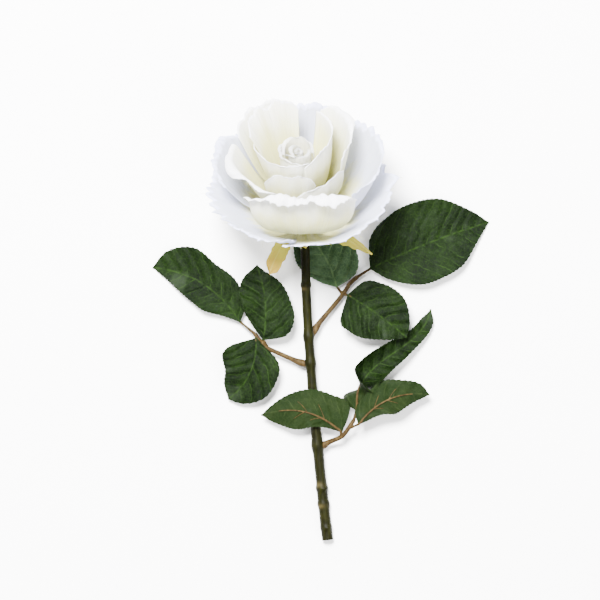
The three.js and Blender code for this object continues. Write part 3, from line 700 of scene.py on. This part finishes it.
def width_at(stations, v):
    """Smooth half width through the given stations, zero at both ends."""
    values = np.array([0, *stations, 0], float)
    last = len(values) - 1
    before = np.maximum(np.arange(last + 1) - 1, 0)
    after = np.minimum(np.arange(last + 1) + 1, last)
    slopes = (values[after] - values[before]) / (width_places[after] - width_places[before])
    cell = np.clip(np.searchsorted(width_places, v, side="left") - 1, 0, last - 1)
    span = width_places[cell + 1] - width_places[cell]
    t = (v - width_places[cell]) / span
    return ((2 * t**3 - 3 * t**2 + 1) * values[cell] + (t**3 - 2 * t**2 + t) * slopes[cell] * span
            + (3 * t**2 - 2 * t**3) * values[cell + 1] + (t**3 - t**2) * slopes[cell + 1] * span)


def leaf_points(leaf, u, v, drop=0.0, teeth=True):
    """Points of a leaflet and their place in its cloth, in millimetres."""
    base, tip = (np.array(leaf[end], float) + leaf["origin"] for end in ("base", "tip"))
    heading = (tip - base) * [1, 1, 0]
    leftward = np.cross(up, heading / np.linalg.norm(heading))
    length = np.linalg.norm(tip - base)

    def midrib(s):
        rise = (4 * s * (1 - s))[..., None]
        bow = leaf["bow"] * (1 + leaf["skew"] * (1 - 2 * s))[..., None]
        return base + s[..., None] * (tip - base) + rise * (bow * leftward + leaf["arch"] * up)

    u, v = np.broadcast_arrays(u, v)
    tangent = unit(midrib(v + 0.01) - midrib(v - 0.01))
    level = unit(np.cross(up, tangent))
    upright = np.cross(tangent, level)
    twist = np.clip((v - leaf["twist"][0]) / (leaf["twist"][1] - leaf["twist"][0]), 0, 1)
    twist = twist * twist * (3 - 2 * twist)
    turn = ((leaf["roll"][0] + (leaf["roll"][1] - leaf["roll"][0]) * twist) * degree)[..., None]
    to_left = level * np.cos(turn) + upright * np.sin(turn)
    face = upright * np.cos(turn) - level * np.sin(turn)

    half = np.where(u < 0, width_at(leaf["left"], v), width_at(leaf["right"], v))
    half = np.maximum(half, least_half_width)
    if teeth:
        step = (v * length / tooth_length) % 1.0
        half = half + tooth_depth * (step**1.5 - 0.5) * abs(u) ** 8 * np.clip(half / 4, 0, 1)
    away = u * half
    widest = max(*leaf["left"], *leaf["right"])
    bend = max(abs(leaf["cup"] * degree), 1e-3) * (1 if leaf["cup"] >= 0 else -1) / widest
    rise = (1 - np.cos(bend * away)) / bend + abs(away) * math.tan(leaf["fold"] * degree)

    # pillows between the side veins, and a wavy margin
    start = v * length - vein_slant * abs(away) - vein_curve * away**2 + vein_shift * (away > 0)
    pillow = np.abs(np.sin(math.pi * (start / vein_spacing + 0.5))) - 0.6
    inside = np.clip(abs(away) / 3, 0, 1) * np.clip((half - abs(away)) / 2, 0, 1)
    rise = rise + pillow_height * pillow * inside
    wave = leaf["wave"] * swells(u, v * 2.5, leaf["seed"], across=0.5, along=1.4)
    rise = rise + wave * u * u * np.sin(math.pi * np.clip(v, 0, 1))
    sideways = np.sin(bend * away) / bend
    points = midrib(v) - to_left * sideways[..., None] + face * (rise + drop)[..., None]
    return points, np.stack([away, v * length], -1)


print("teeth are", tooth_length, "mm long and", tooth_depth, "mm deep")

# %% [markdown]
# ## The stem's line
# The neck turns on a short arc from the flower's axis down to the lie of the stem, which
# then runs nearly straight to the cut. It could be drawn as a curve by hand, but worked out
# from the same few sizes as the CAD stem it also places the three sprays of leaves.

# %% Stem line
stem_length = 160.5
stem_cut_radius = 2.85
neck_bend_radius = 10.0
stem_sway = 12.6
clearance = 0.3
stem_rings = 420

neck_top = head_base - head_axis * (hip_length + 2 * clearance)
neck_foot = neck_top - neck_bend_radius * np.array([0, math.sin(head_pitch), 1 - math.cos(head_pitch)])
neck_foot[0] = neck_place[0]


def stem_centre(distance):
    share = np.asarray(distance) / stem_length
    return np.stack([
        neck_foot[0] + stem_sway * share**1.5,
        neck_foot[1] - distance,
        neck_foot[2] + (stem_cut_radius - neck_foot[2]) * share,
    ], -1)


neck_line = []
for share in np.linspace(0, 0.75, 4):
    angle = head_pitch * share
    back = neck_bend_radius * (math.sin(head_pitch) - math.sin(head_pitch - angle))
    down = neck_bend_radius * (math.cos(head_pitch - angle) - math.cos(head_pitch))
    side = neck_top[0] + (neck_foot[0] - neck_top[0]) * share
    neck_line.append([side, neck_top[1] - back, neck_top[2] - down])
run_line = [stem_centre(stem_length * share) for share in (0, 0.15, 0.3, 0.45, 0.6, 0.75, 0.9, 1)]
stem_line = smooth_line(neck_line + run_line, stem_rings)
print("the stem is cut", round(stem_line[-1][1]), "mm from the middle of the part")

# %% [markdown]
# ## The sprays
# A spray is a moulded stalk with three leaflets. Places are [right, ahead, height]: right and
# ahead from where the stalk leaves the middle of the stem, and height above the table. Two
# leaflets cross the stem, and their height is worked out from it: one over and one under.

# %% Spray sizes
right_at = 48.5          # millimetres down the stem
left_at = 63.5
low_at = 109.5
crossing_gap = 1.2
over_stem = float(stem_centre(low_at)[2]) + stem_cut_radius + crossing_gap
under_stem = float(stem_centre(right_at / 2)[2]) - stem_cut_radius - crossing_gap
sprays = [
    {"name": "left", "distance": left_at,
     "stalk": [[-6, 1.6, 5.6], [-11.5, 3.9, 6], [-17.6, 6.6, 6.4], [-23.7, 9.4, 6.4], [-27, 12.4, 6],
               [-31, 17.4, 5]],
     "leaflets": [
         {"name": "leaf_left_end", "fork": 5, "base": [-39.1, 23.7, 4.8], "tip": [-87.8, 54.2, 0.6],
          "bow": -7.2, "arch": 1.5, "fold": 7, "cup": 8,
          "left": [4.5, 11.5, 12, 9.5, 4], "right": [8, 13, 13.2, 16, 10]},
         {"name": "leaf_left_upper", "fork": 3, "base": [-26.4, 13.8, 8.6], "tip": [-29.9, 55.5, 5.5],
          "bow": -3, "arch": 2, "fold": 6, "cup": 8,
          "left": [4.5, 10.5, 13, 13.5, 9], "right": [12, 16, 14, 10.5, 3]},
         {"name": "leaf_left_lower", "fork": 4, "base": [-30.3, 15.4, 9.6], "tip": [-45.7, -19, 3],
          "bow": 5, "arch": 2.5, "fold": 6, "cup": -8,
          "left": [4, 14, 15.5, 13.8, 7], "right": [13, 18, 17, 12.5, 8]},
     ]},
    {"name": "right", "distance": right_at,
     "stalk": [[3, 4, 5.6], [5.8, 8.4, 5.4], [9.7, 13.1, 5.2], [13, 17, 5], [18.9, 24.3, 5],
               [22.7, 30.1, 4.8], [27, 34, 4.6]],
     "leaflets": [
         {"name": "leaf_right_end", "fork": 6, "base": [33.9, 38.4, 5], "tip": [100.1, 64.4, 0.5],
          "bow": 1.5, "arch": 2.5, "fold": 8, "cup": 0,
          "left": [15, 22.5, 24, 20.5, 8.5], "right": [10, 19.5, 21, 18, 6.5]},
         {"name": "leaf_right_under", "fork": 4, "base": [15.5, 28.1, under_stem + 0.4],
          "tip": [-6.9, 61.5, under_stem - 0.5], "bow": -4, "arch": 0, "fold": 0, "cup": 0,
          "left": [7, 13, 15, 14, 8], "right": [12, 17, 16, 12, 5], "wave": 0.3},
         {"name": "leaf_right_lower", "fork": 4, "base": [21.4, 24.1, 10], "tip": [54.2, 0.4, 11.2],
          "bow": 1, "arch": 2, "fold": 5, "cup": -10,
          "left": [11, 15.5, 17, 15, 7.5], "right": [14.5, 17, 16, 11.5, 5]},
     ]},
    {"name": "low", "distance": low_at,
     "stalk": [[3, 1.4, 5], [6.2, 3.3, 6], [13.1, 6.4, 9], [16.9, 10.8, 10], [20, 15.6, 10]],
     "leaflets": [
         {"name": "leaf_low_left", "fork": 2, "base": [13.4, 8.6, over_stem + 2],
          "tip": [-31.4, 18.2, over_stem - 2], "bow": -7, "arch": 3, "fold": 5, "cup": 12,
          "left": [14, 14.2, 13, 8.6, 3], "right": [2, 6, 10, 10, 5.5], "roll": [180, 180]},
         {"name": "leaf_low_right", "fork": 3, "base": [22.4, 13, 13.4], "tip": [61.9, 29.6, 8.5],
          "bow": 6.5, "arch": 3.5, "fold": 5, "cup": 10,
          "left": [2.5, 5.5, 9, 7, 3], "right": [6.5, 9, 11, 8.5, 5.5], "roll": [180, 180]},
         {"name": "leaf_low_end", "fork": 4, "base": [21.8, 20.4, 8.2], "tip": [62.7, 77.1, 1.2],
          "bow": 3.6, "arch": 2.2, "fold": 5, "cup": 70,
          "left": [9, 10, 8, 5.2, 3.6], "right": [11, 10.5, 8, 5.2, 4],
          "roll": [180, 0], "skew": 3.4, "twist": [0.06, 0.28]},
     ]},
]

# %% [markdown]
# ## Making the leaflets
# The top and the back of the cloth are different prints, so the Solidify modifier gives the
# back face its own material; two sheets back to back would show a seam at the rim. The mesh
# has enough rows for each tooth of the margin.

# %% Make the leaflets
leaf_columns = 41
leaf_rows = 190
print_step = 100         # millimetres from one leaflet's place in the print to the next
leaflet_painted_lighter = "leaf_right_under"


def make_leaf(leaf):
    u = np.linspace(-1, 1, leaf_columns)
    u = (np.sign(u) * abs(u) ** 0.85)[None, :]
    v = np.linspace(0, 1, leaf_rows)[:, None]
    points, cloth = leaf_points(leaf, u, v)
    rest_on_table(points)
    share = np.stack(np.broadcast_arrays((u + 1) / 2, v), -1)
    cloth = cloth + [0, print_step * leaf["seed"]]
    prints = [leaf["print"], leaf_back]
    cloth_sheet(leaf["name"] + "_cloth", points, share, cloth, prints, leaf["name"])


seed = 0
for spray in sprays:
    root = stem_centre(spray["distance"])
    spray["root"] = root
    for leaf in spray["leaflets"]:
        seed += 1
        leaf["seed"] = seed
        leaf["origin"] = np.array([root[0], root[1], 0.0])
        leaf.setdefault("roll", [0, 0])
        leaf.setdefault("skew", 0)
        leaf.setdefault("twist", [0.15, 0.55])
        leaf.setdefault("wave", 0.9)
        leaf["print"] = leaf_print_lightened if leaf["name"] == leaflet_painted_lighter else leaf_top
        make_leaf(leaf)
print(seed, "leaflets")

# %% [markdown]
# ## Moulded plastic
# The stem and the stalks are moulded over wire. The stalks are tan with darker streaks. The
# stem is a dark olive brown with pale scars where leaves fell. The streaks could be painted by
# hand; a noise stretched along the stem draws them on every stalk alike. The scars' place
# comes from an attribute of the mesh called `scar`.

# %% Plastic finishes
scar_colour = (0.035, 0.028, 0.010)


def moulded_finish(name, base, dark, light, roughness):
    finish = Finish(name, roughness, gloss=0.04)
    where = finish.node("TexCoord").outputs["Object"]
    long_way = finish.node("Mapping", {"Vector": where, "Scale": (1.0, 0.18, 1.0)}).outputs[0]
    streaks = finish.noise(long_way, 750.0, 4.0, 0.6)
    spots = finish.noise(where, 240.0, 3.0)
    colour = finish.mix(finish.between(streaks, 0.38, 0.68), dark, base)
    colour = finish.mix(finish.between(spots, 0.52, 0.8, 0.0, 0.6), colour, light)
    scar = finish.node("Attribute", attribute_name="scar").outputs["Fac"]
    colour = finish.mix(scar, colour, scar_colour)
    finish.colour(colour)
    grain = finish.noise(where, 1500.0, 2.0)
    finish.relief(finish.sum("ADD", streaks, finish.sum("MULTIPLY", grain, 0.3)), 0.25)
    return finish.material


stem_plastic = moulded_finish(
    "stem_plastic", base=(0.0054, 0.0058, 0.0004), dark=(0.0024, 0.0024, 0.0002),
    light=(0.0090, 0.0092, 0.0010), roughness=0.5)
stalk_plastic = moulded_finish(
    "stalk_plastic", base=(0.038, 0.024, 0.008), dark=(0.017, 0.010, 0.0034),
    light=(0.070, 0.048, 0.018), roughness=0.55)
print("plastics:", stem_plastic.name, stalk_plastic.name)

# %% [markdown]
# ## Stem
# The stem is one bar with low swellings where stalks and old leaves join, small bumps, and
# pale scars. The swellings could be pieces of their own, but a change of radius blends them
# in. The scars are painted on the mesh's points, because they belong to places on the stem
# and not to a pattern.

# %% Make the stem
stem_sides = 48
skin = 1.08              # the moulded skin is a little thicker than the plain CAD bar
bump_reach = 1.3         # millimetres along the stem
lowest_stem = 0.02       # keeps the swellings out of the table
old_leaf_marks = [(131, 1.5), (143, 1.2), (22, 1.0), (98, 0.8)]
neck_run = neck_bend_radius * head_pitch


def around(values, place, reach):
    return np.exp(-(((values - place) / reach) ** 2))


run = np.concatenate([[0], np.cumsum(np.linalg.norm(np.diff(stem_line, axis=0), axis=1))]) - neck_run
turns = np.arange(stem_sides) * 2 * math.pi / stem_sides
radius = stem_top_radius + (stem_cut_radius - stem_top_radius) * (run - run[0]) / (run[-1] - run[0])
rough = swells(np.linspace(0, 12, len(run))[:, None], turns[None, :] / 6.3, 7, 1, 1)
radius = radius[:, None] * (skin + 0.03 * rough)
knots = [
    (20, 0.45, 1.6), (right_at, 0.5, 2.5), (left_at, 0.6, 2.5), (low_at, 0.6, 3), (133, 0.45, 1.6),
    (142, 0.5, 1.8), (155, 0.3, 1.6),
]
for place, height, reach in knots:
    radius = radius + height * around(run, place, reach)[:, None]
bumps = [
    (20, math.pi, 0.8), (133.5, math.pi * 0.9, 0.8), (142, 0.2, 0.7), (155.5, math.pi, 0.6),
    (88, 1.2, 0.35),
]
for place, side, height in bumps:
    off_across = np.cos(turns) - math.cos(side)
    off_up = np.sin(turns) - math.sin(side)
    one_side = np.exp(-(off_across**2 + off_up**2) / 0.5)
    radius = radius + height * around(run, place, bump_reach)[:, None] * one_side[None, :]
points, faces = bar(stem_line, radius, stem_sides)
points[:, 2] = np.maximum(points[:, 2], lowest_stem)
stem_piece = add_object("stem_moulding", points, faces, [stem_plastic], ["stem"])

scar = sum(around(run, place, reach) for place, reach in old_leaf_marks)
top_side = np.clip(0.2 - np.sin(turns), 0, 1)
paint = (scar[:, None] * 0.8 * np.clip(top_side, 0.15, 1)[None, :]).ravel()
layer = stem_piece.data.attributes.new("scar", "FLOAT", "POINT")
layer.data.foreach_set("value", np.concatenate([paint, [0, 0]]).astype(np.float32))
print("stem:", len(points), "points,", round(float(run[-1] - run[0])), "mm long")

# %% [markdown]
# ## Stalks and ribs
# On the real piece one moulding is stalk and rib: from the stem it forks to each leaflet,
# runs along its back as a raised midrib, and sends out thin side ribs under the side veins.
# The bars could be joined by Boolean unions, but those leave sharp corners. A voxel remesh
# merges them into one skin with the soft corners of a moulding.

# %% Make the stalks
stalk_root_radius = 2.4
stalk_radius = 1.2
rib_radius = 0.62
side_rib_radius = 0.27
side_rib_end = 0.2
rib_end = 0.8            # share of the leaflet's length where its rib ends
stalk_rings = 80
rib_rings = 60
side_rib_rings = 16
voxel = 0.22             # the remesh's step, finer than the thinnest rib


def rib_bars(leaf, fork_place):
    """The midrib on the back of a leaflet, and its side ribs."""
    v = np.linspace(0.02, rib_end, 14)
    drop = -(cloth_thickness / 2 + rib_radius * 0.6)
    spine, _ = leaf_points(leaf, 0.0, v, drop, teeth=False)
    line = smooth_line([fork_place, *spine], rib_rings)
    along = np.linspace(0, 1, rib_rings)
    taper = rib_radius + (stalk_radius * 0.8 - rib_radius) * np.exp(-along * 8) - 0.3 * along
    parts = [bar(line, taper, sides=10)]
    for start in (0.24, 0.46):
        for hand in (-1, 1):
            reach = np.linspace(0, 0.45, 8)
            begin = start + (0.03 if hand > 0 else 0)
            below = -(cloth_thickness / 2 + 0.1)
            out, _ = leaf_points(leaf, hand * reach, begin + 0.3 * reach, below, teeth=False)
            radii = np.linspace(side_rib_radius, side_rib_end, side_rib_rings)
            parts.append(bar(smooth_line(out, side_rib_rings), radii, sides=8))
    return parts


def make_stalk(spray):
    origin = spray["leaflets"][0]["origin"]
    places = [np.array(place, float) + origin for place in spray["stalk"]]
    line = smooth_line([spray["root"], *places], stalk_rings)
    along = np.linspace(0, 1, stalk_rings)
    taper = stalk_radius + (stalk_root_radius - stalk_radius) * np.exp(-along * 5)
    taper = taper + 0.35 * around(along, 0.16, 0.05)
    parts = [bar(line, taper, sides=20)]
    for leaf in spray["leaflets"]:
        parts.extend(rib_bars(leaf, places[leaf["fork"]]))
    points, faces = join(parts)
    name = "stalk_" + spray["name"]
    piece = add_object(name + "_moulding", points, faces, [stalk_plastic], [name])
    merge = piece.modifiers.new("one skin", "REMESH")
    merge.mode = "VOXEL"
    merge.voxel_size = voxel * METRES
    merge.use_smooth_shade = True
    soften = piece.modifiers.new("soft corners", "SMOOTH")
    soften.factor = 0.5
    soften.iterations = 3
    return piece


for spray in sprays:
    make_stalk(spray)
print(len(sprays), "stalks")

# %% [markdown]
# ## Sepal cloth and cup plastic
# The sepals are cut cloth like the leaves, yellow-green at the root and browned at the tips.
# A colour ramp could hold the change; here noise shifts it, so that no edge runs straight.
# The cup is moulded in the green of the sepals' roots, so it reuses the plastic's recipe.

# %% Sepal and cup finishes
sepal_root_colour = (0.07, 0.09, 0.012)
sepal_colour = (0.30, 0.27, 0.035)
sepal_rib_colour = (0.36, 0.32, 0.08)


def sepal_finish(name, tip_colour):
    finish = Finish(name, roughness=0.7, gloss=0.03)
    across, along = finish.uv("share")
    cloth_x, cloth_y = finish.uv("cloth")
    patchy = finish.noise(finish.spot(cloth_x, cloth_y), 0.25, 4.0)
    place = finish.sum("ADD", along, finish.sum("MULTIPLY", finish.sum("SUBTRACT", patchy, 0.5), 0.5))
    colour = finish.mix(finish.between(place, 0.1, 0.45), sepal_root_colour, sepal_colour)
    colour = finish.mix(finish.between(place, 0.5, 0.95), colour, tip_colour)
    from_middle = finish.sum("ABSOLUTE", finish.sum("SUBTRACT", across, 0.5))
    colour = finish.mix(finish.between(from_middle, 0.06, 0.01, 0, 0.4), colour, sepal_rib_colour)
    finish.colour(colour)
    lines = finish.noise(finish.spot(finish.sum("MULTIPLY", across, 22.0), along), 1.5, 3.0)
    finish.relief(lines, 0.4)
    return finish.material


browned_sepal = sepal_finish("sepal_cloth_browned", (0.33, 0.22, 0.03))
green_sepal = sepal_finish("sepal_cloth_green", (0.34, 0.29, 0.05))
cup_plastic = moulded_finish(
    "cup_plastic", base=(0.03, 0.045, 0.008), dark=(0.017, 0.028, 0.006),
    light=(0.055, 0.07, 0.018), roughness=0.55)
print("calyx finishes:", browned_sepal.name, green_sepal.name, cup_plastic.name)

# %% [markdown]
# ## Cup
# The cup is the little moulded urn that the petals stand in. It could be spun from a profile
# with the Screw modifier; rings of points are used, so that five shallow ribs can swell
# between its ends.

# %% Make the cup
cup_turns = 72
cup_ribs = 5
cup_scale = 0.98         # a little slimmer than the CAD cup, because the ribs stand proud
cup_profile = smooth_line([(radius, height, 0.0) for radius, height in cup_rings], 30)[:, :2]
turns = np.arange(cup_turns) * 2 * math.pi / cup_turns
swelling = np.sin(np.linspace(0, math.pi, len(cup_profile)))
ribbed = 1 + 0.03 * np.cos(cup_ribs * turns)[None, :] * swelling[:, None]
rings = head_point(
    cup_profile[:, :1] * ribbed * cup_scale,
    turns[None, :] + 0 * ribbed,
    cup_profile[:, 1:] + 0 * ribbed,
)
corner = np.arange(rings.shape[0] * cup_turns).reshape(rings.shape[:2])
after = np.roll(corner, -1, axis=1)
faces = np.stack([corner[:-1], corner[1:], after[1:], after[:-1]], -1).reshape(-1, 4).tolist()
centres = np.stack([head_base + head_axis * height for height in cup_profile[[0, -1], 1]])
count = rings.shape[0] * cup_turns
faces += [(count, int(corner[0, i]), int(after[0, i])) for i in range(cup_turns)]
faces += [(count + 1, int(after[-1, i]), int(corner[-1, i])) for i in range(cup_turns)]
mesh_points = np.concatenate([rings.reshape(-1, 3), centres])
add_object("calyx_cup_moulding", mesh_points, faces, [cup_plastic], ["calyx_cup"])
print("cup:", len(mesh_points), "points")

# %% [markdown]
# ## Sepals
# Five narrow leaves of cloth spring from below the cup's widest ring and bend down over the
# stem. Each is one quadratic Bezier curve away from the axis, with a half width on each side
# that the outline gives. They could be leaflets too, but a sepal has no midrib to bow.

# %% Make the sepals
sepal_root_radius = hip_radius + clearance + cloth_thickness
sepal_root_height = -hip_length * 0.3
sepals = [
    ("sepal_left", 226, (16, -3), (26, -22), 5.2, browned_sepal),
    ("sepal_front", -84, (12, -2), (17, -3), 3.6, green_sepal),
    ("sepal_right", -25, (26, 1.5), (42.5, -7), 4, green_sepal),
    ("sepal_back_right", 50, (14, -3), (23, -6), 3.8, green_sepal),
    ("sepal_back_left", 138, (14, -3), (23, -7), 3.8, browned_sepal),
]

broad_outline = [0.45, 0.7, 0.95, 1, 0.8]        # widest towards the tip
slender_outline = [0.55, 0.85, 1, 0.8, 0.35]
narrowest = 0.3
sepal_length = 24        # millimetres, near enough for the size of its noise
sepal_gutter = 0.12      # how far the margins bend back


def make_sepal(name, facing, bend, tip, widest, finish, seed):
    u = np.linspace(-1, 1, 21)[None, :]
    v = np.linspace(0, 1, 90)[:, None]
    s = 1 - v
    radius = s * s * sepal_root_radius + 2 * s * v * bend[0] + v * v * tip[0]
    height = s * s * sepal_root_height + 2 * s * v * bend[1] + v * v * tip[1]
    outline = broad_outline if name == "sepal_left" else slender_outline
    half = np.maximum(widest * width_at(outline, v), narrowest)
    teeth = 0.5 * swells(np.sign(u), v * 9, seed, across=1, along=1) * abs(u) ** 4
    half = np.maximum(half + teeth * np.sin(math.pi * v), 0.25)
    wave = 0.4 * swells(u, v * 1.5, seed + 1) * v
    bent_back = height - sepal_gutter * half * u * u + wave
    points = head_point(radius + 0 * u, facing * degree + 0 * (u + v), bent_back)
    across = -math.sin(facing * degree) * head_right + math.cos(facing * degree) * head_down
    points = points + (half * u)[..., None] * across
    share = np.stack(np.broadcast_arrays((u + 1) / 2, v), -1)
    cloth = np.stack(np.broadcast_arrays(half * u, v * sepal_length), -1)
    cloth_sheet(name + "_cloth", points, share, cloth, [finish], name)


for seed, (name, facing, bend, tip, widest, finish) in enumerate(sepals):
    make_sepal(name, facing, bend, tip, widest, finish, 300 + 10 * seed)
print(len(sepals), "sepals")

# %% [markdown]
# ## The table
# The rose lies on a plain pale surface. A plane could be added with Blender's own tool; four
# corners and a face are as short, and set its height exactly, a hair below the lowest points.

# %% Table
half_table = 3.0         # metres
table_height = -0.0001
near_left = (-half_table, -half_table, table_height)
near_right = (half_table, -half_table, table_height)
far_right = (half_table, half_table, table_height)
far_left = (-half_table, half_table, table_height)
table_mesh = bpy.data.meshes.new("table_top")
table_mesh.from_pydata([near_left, near_right, far_right, far_left], [], [(0, 1, 2, 3)])
table_top = bpy.data.objects.new("table_top", table_mesh)
bpy.context.scene.collection.objects.link(table_top)
table_finish = Finish("table_paint", roughness=0.9)
table_finish.shader.inputs["Base Color"].default_value = (0.97, 0.97, 0.965, 1)
table_mesh.materials.append(table_finish.material)
print("table:", 2 * half_table, "m square")

# %% [markdown]
# ## The light
# A bright, even room fills every shade, under a broad lamp from above and a little to the
# upper left, with a weaker one opposite. A single sun would cut hard shadows under the
# petals; wide discs blur them. Each lamp is turned towards the middle of the part.

# %% Light
room_strength = 1.42
world = bpy.data.worlds.new("soft_room")
world.use_nodes = True
world.node_tree.nodes["Background"].inputs["Color"].default_value = (1.0, 1.0, 1.0, 1)
world.node_tree.nodes["Background"].inputs["Strength"].default_value = room_strength
bpy.context.scene.world = world


def soft_light(name, place, size, watts):
    light = bpy.data.lights.new(name, "AREA")
    light.shape = "DISK"
    light.size = size
    light.energy = watts
    lamp = bpy.data.objects.new(name, light)
    lamp.location = place
    lamp.rotation_euler = (-Vector(place)).to_track_quat("-Z", "Y").to_euler()
    bpy.context.scene.collection.objects.link(lamp)


soft_light("key_light", (-0.3, 0.7, 1.6), size=0.6, watts=345)
soft_light("fill_light", (0.9, -0.7, 1.3), size=1.2, watts=50)
print("lights:", list(bpy.data.lights.keys()))

# %% [markdown]
# ## The camera
# The camera looks straight down from far off, so that the head, which stands higher, is
# hardly enlarged. A parallel (orthographic) camera would not enlarge it at all, but no real
# lens does that. The lens is worked out from the width that has to fill the frame.

# %% Camera
framed_width = 0.33
camera_height = 2.8
middle_height = 0.03
left_of_neck = 2.75      # millimetres from the neck to the middle of the frame
below_neck = 35.2
camera_data = bpy.data.cameras.new("camera")
camera_data.sensor_width = 36
camera_data.lens = camera_data.sensor_width * (camera_height - middle_height) / framed_width
camera = bpy.data.objects.new("camera", camera_data)
camera.location = (
    (neck_foot[0] - left_of_neck) * METRES,
    (neck_place[1] - below_neck) * METRES,
    camera_height,
)
bpy.context.scene.collection.objects.link(camera)
bpy.context.scene.camera = camera
print("camera lens:", round(camera_data.lens), "mm")
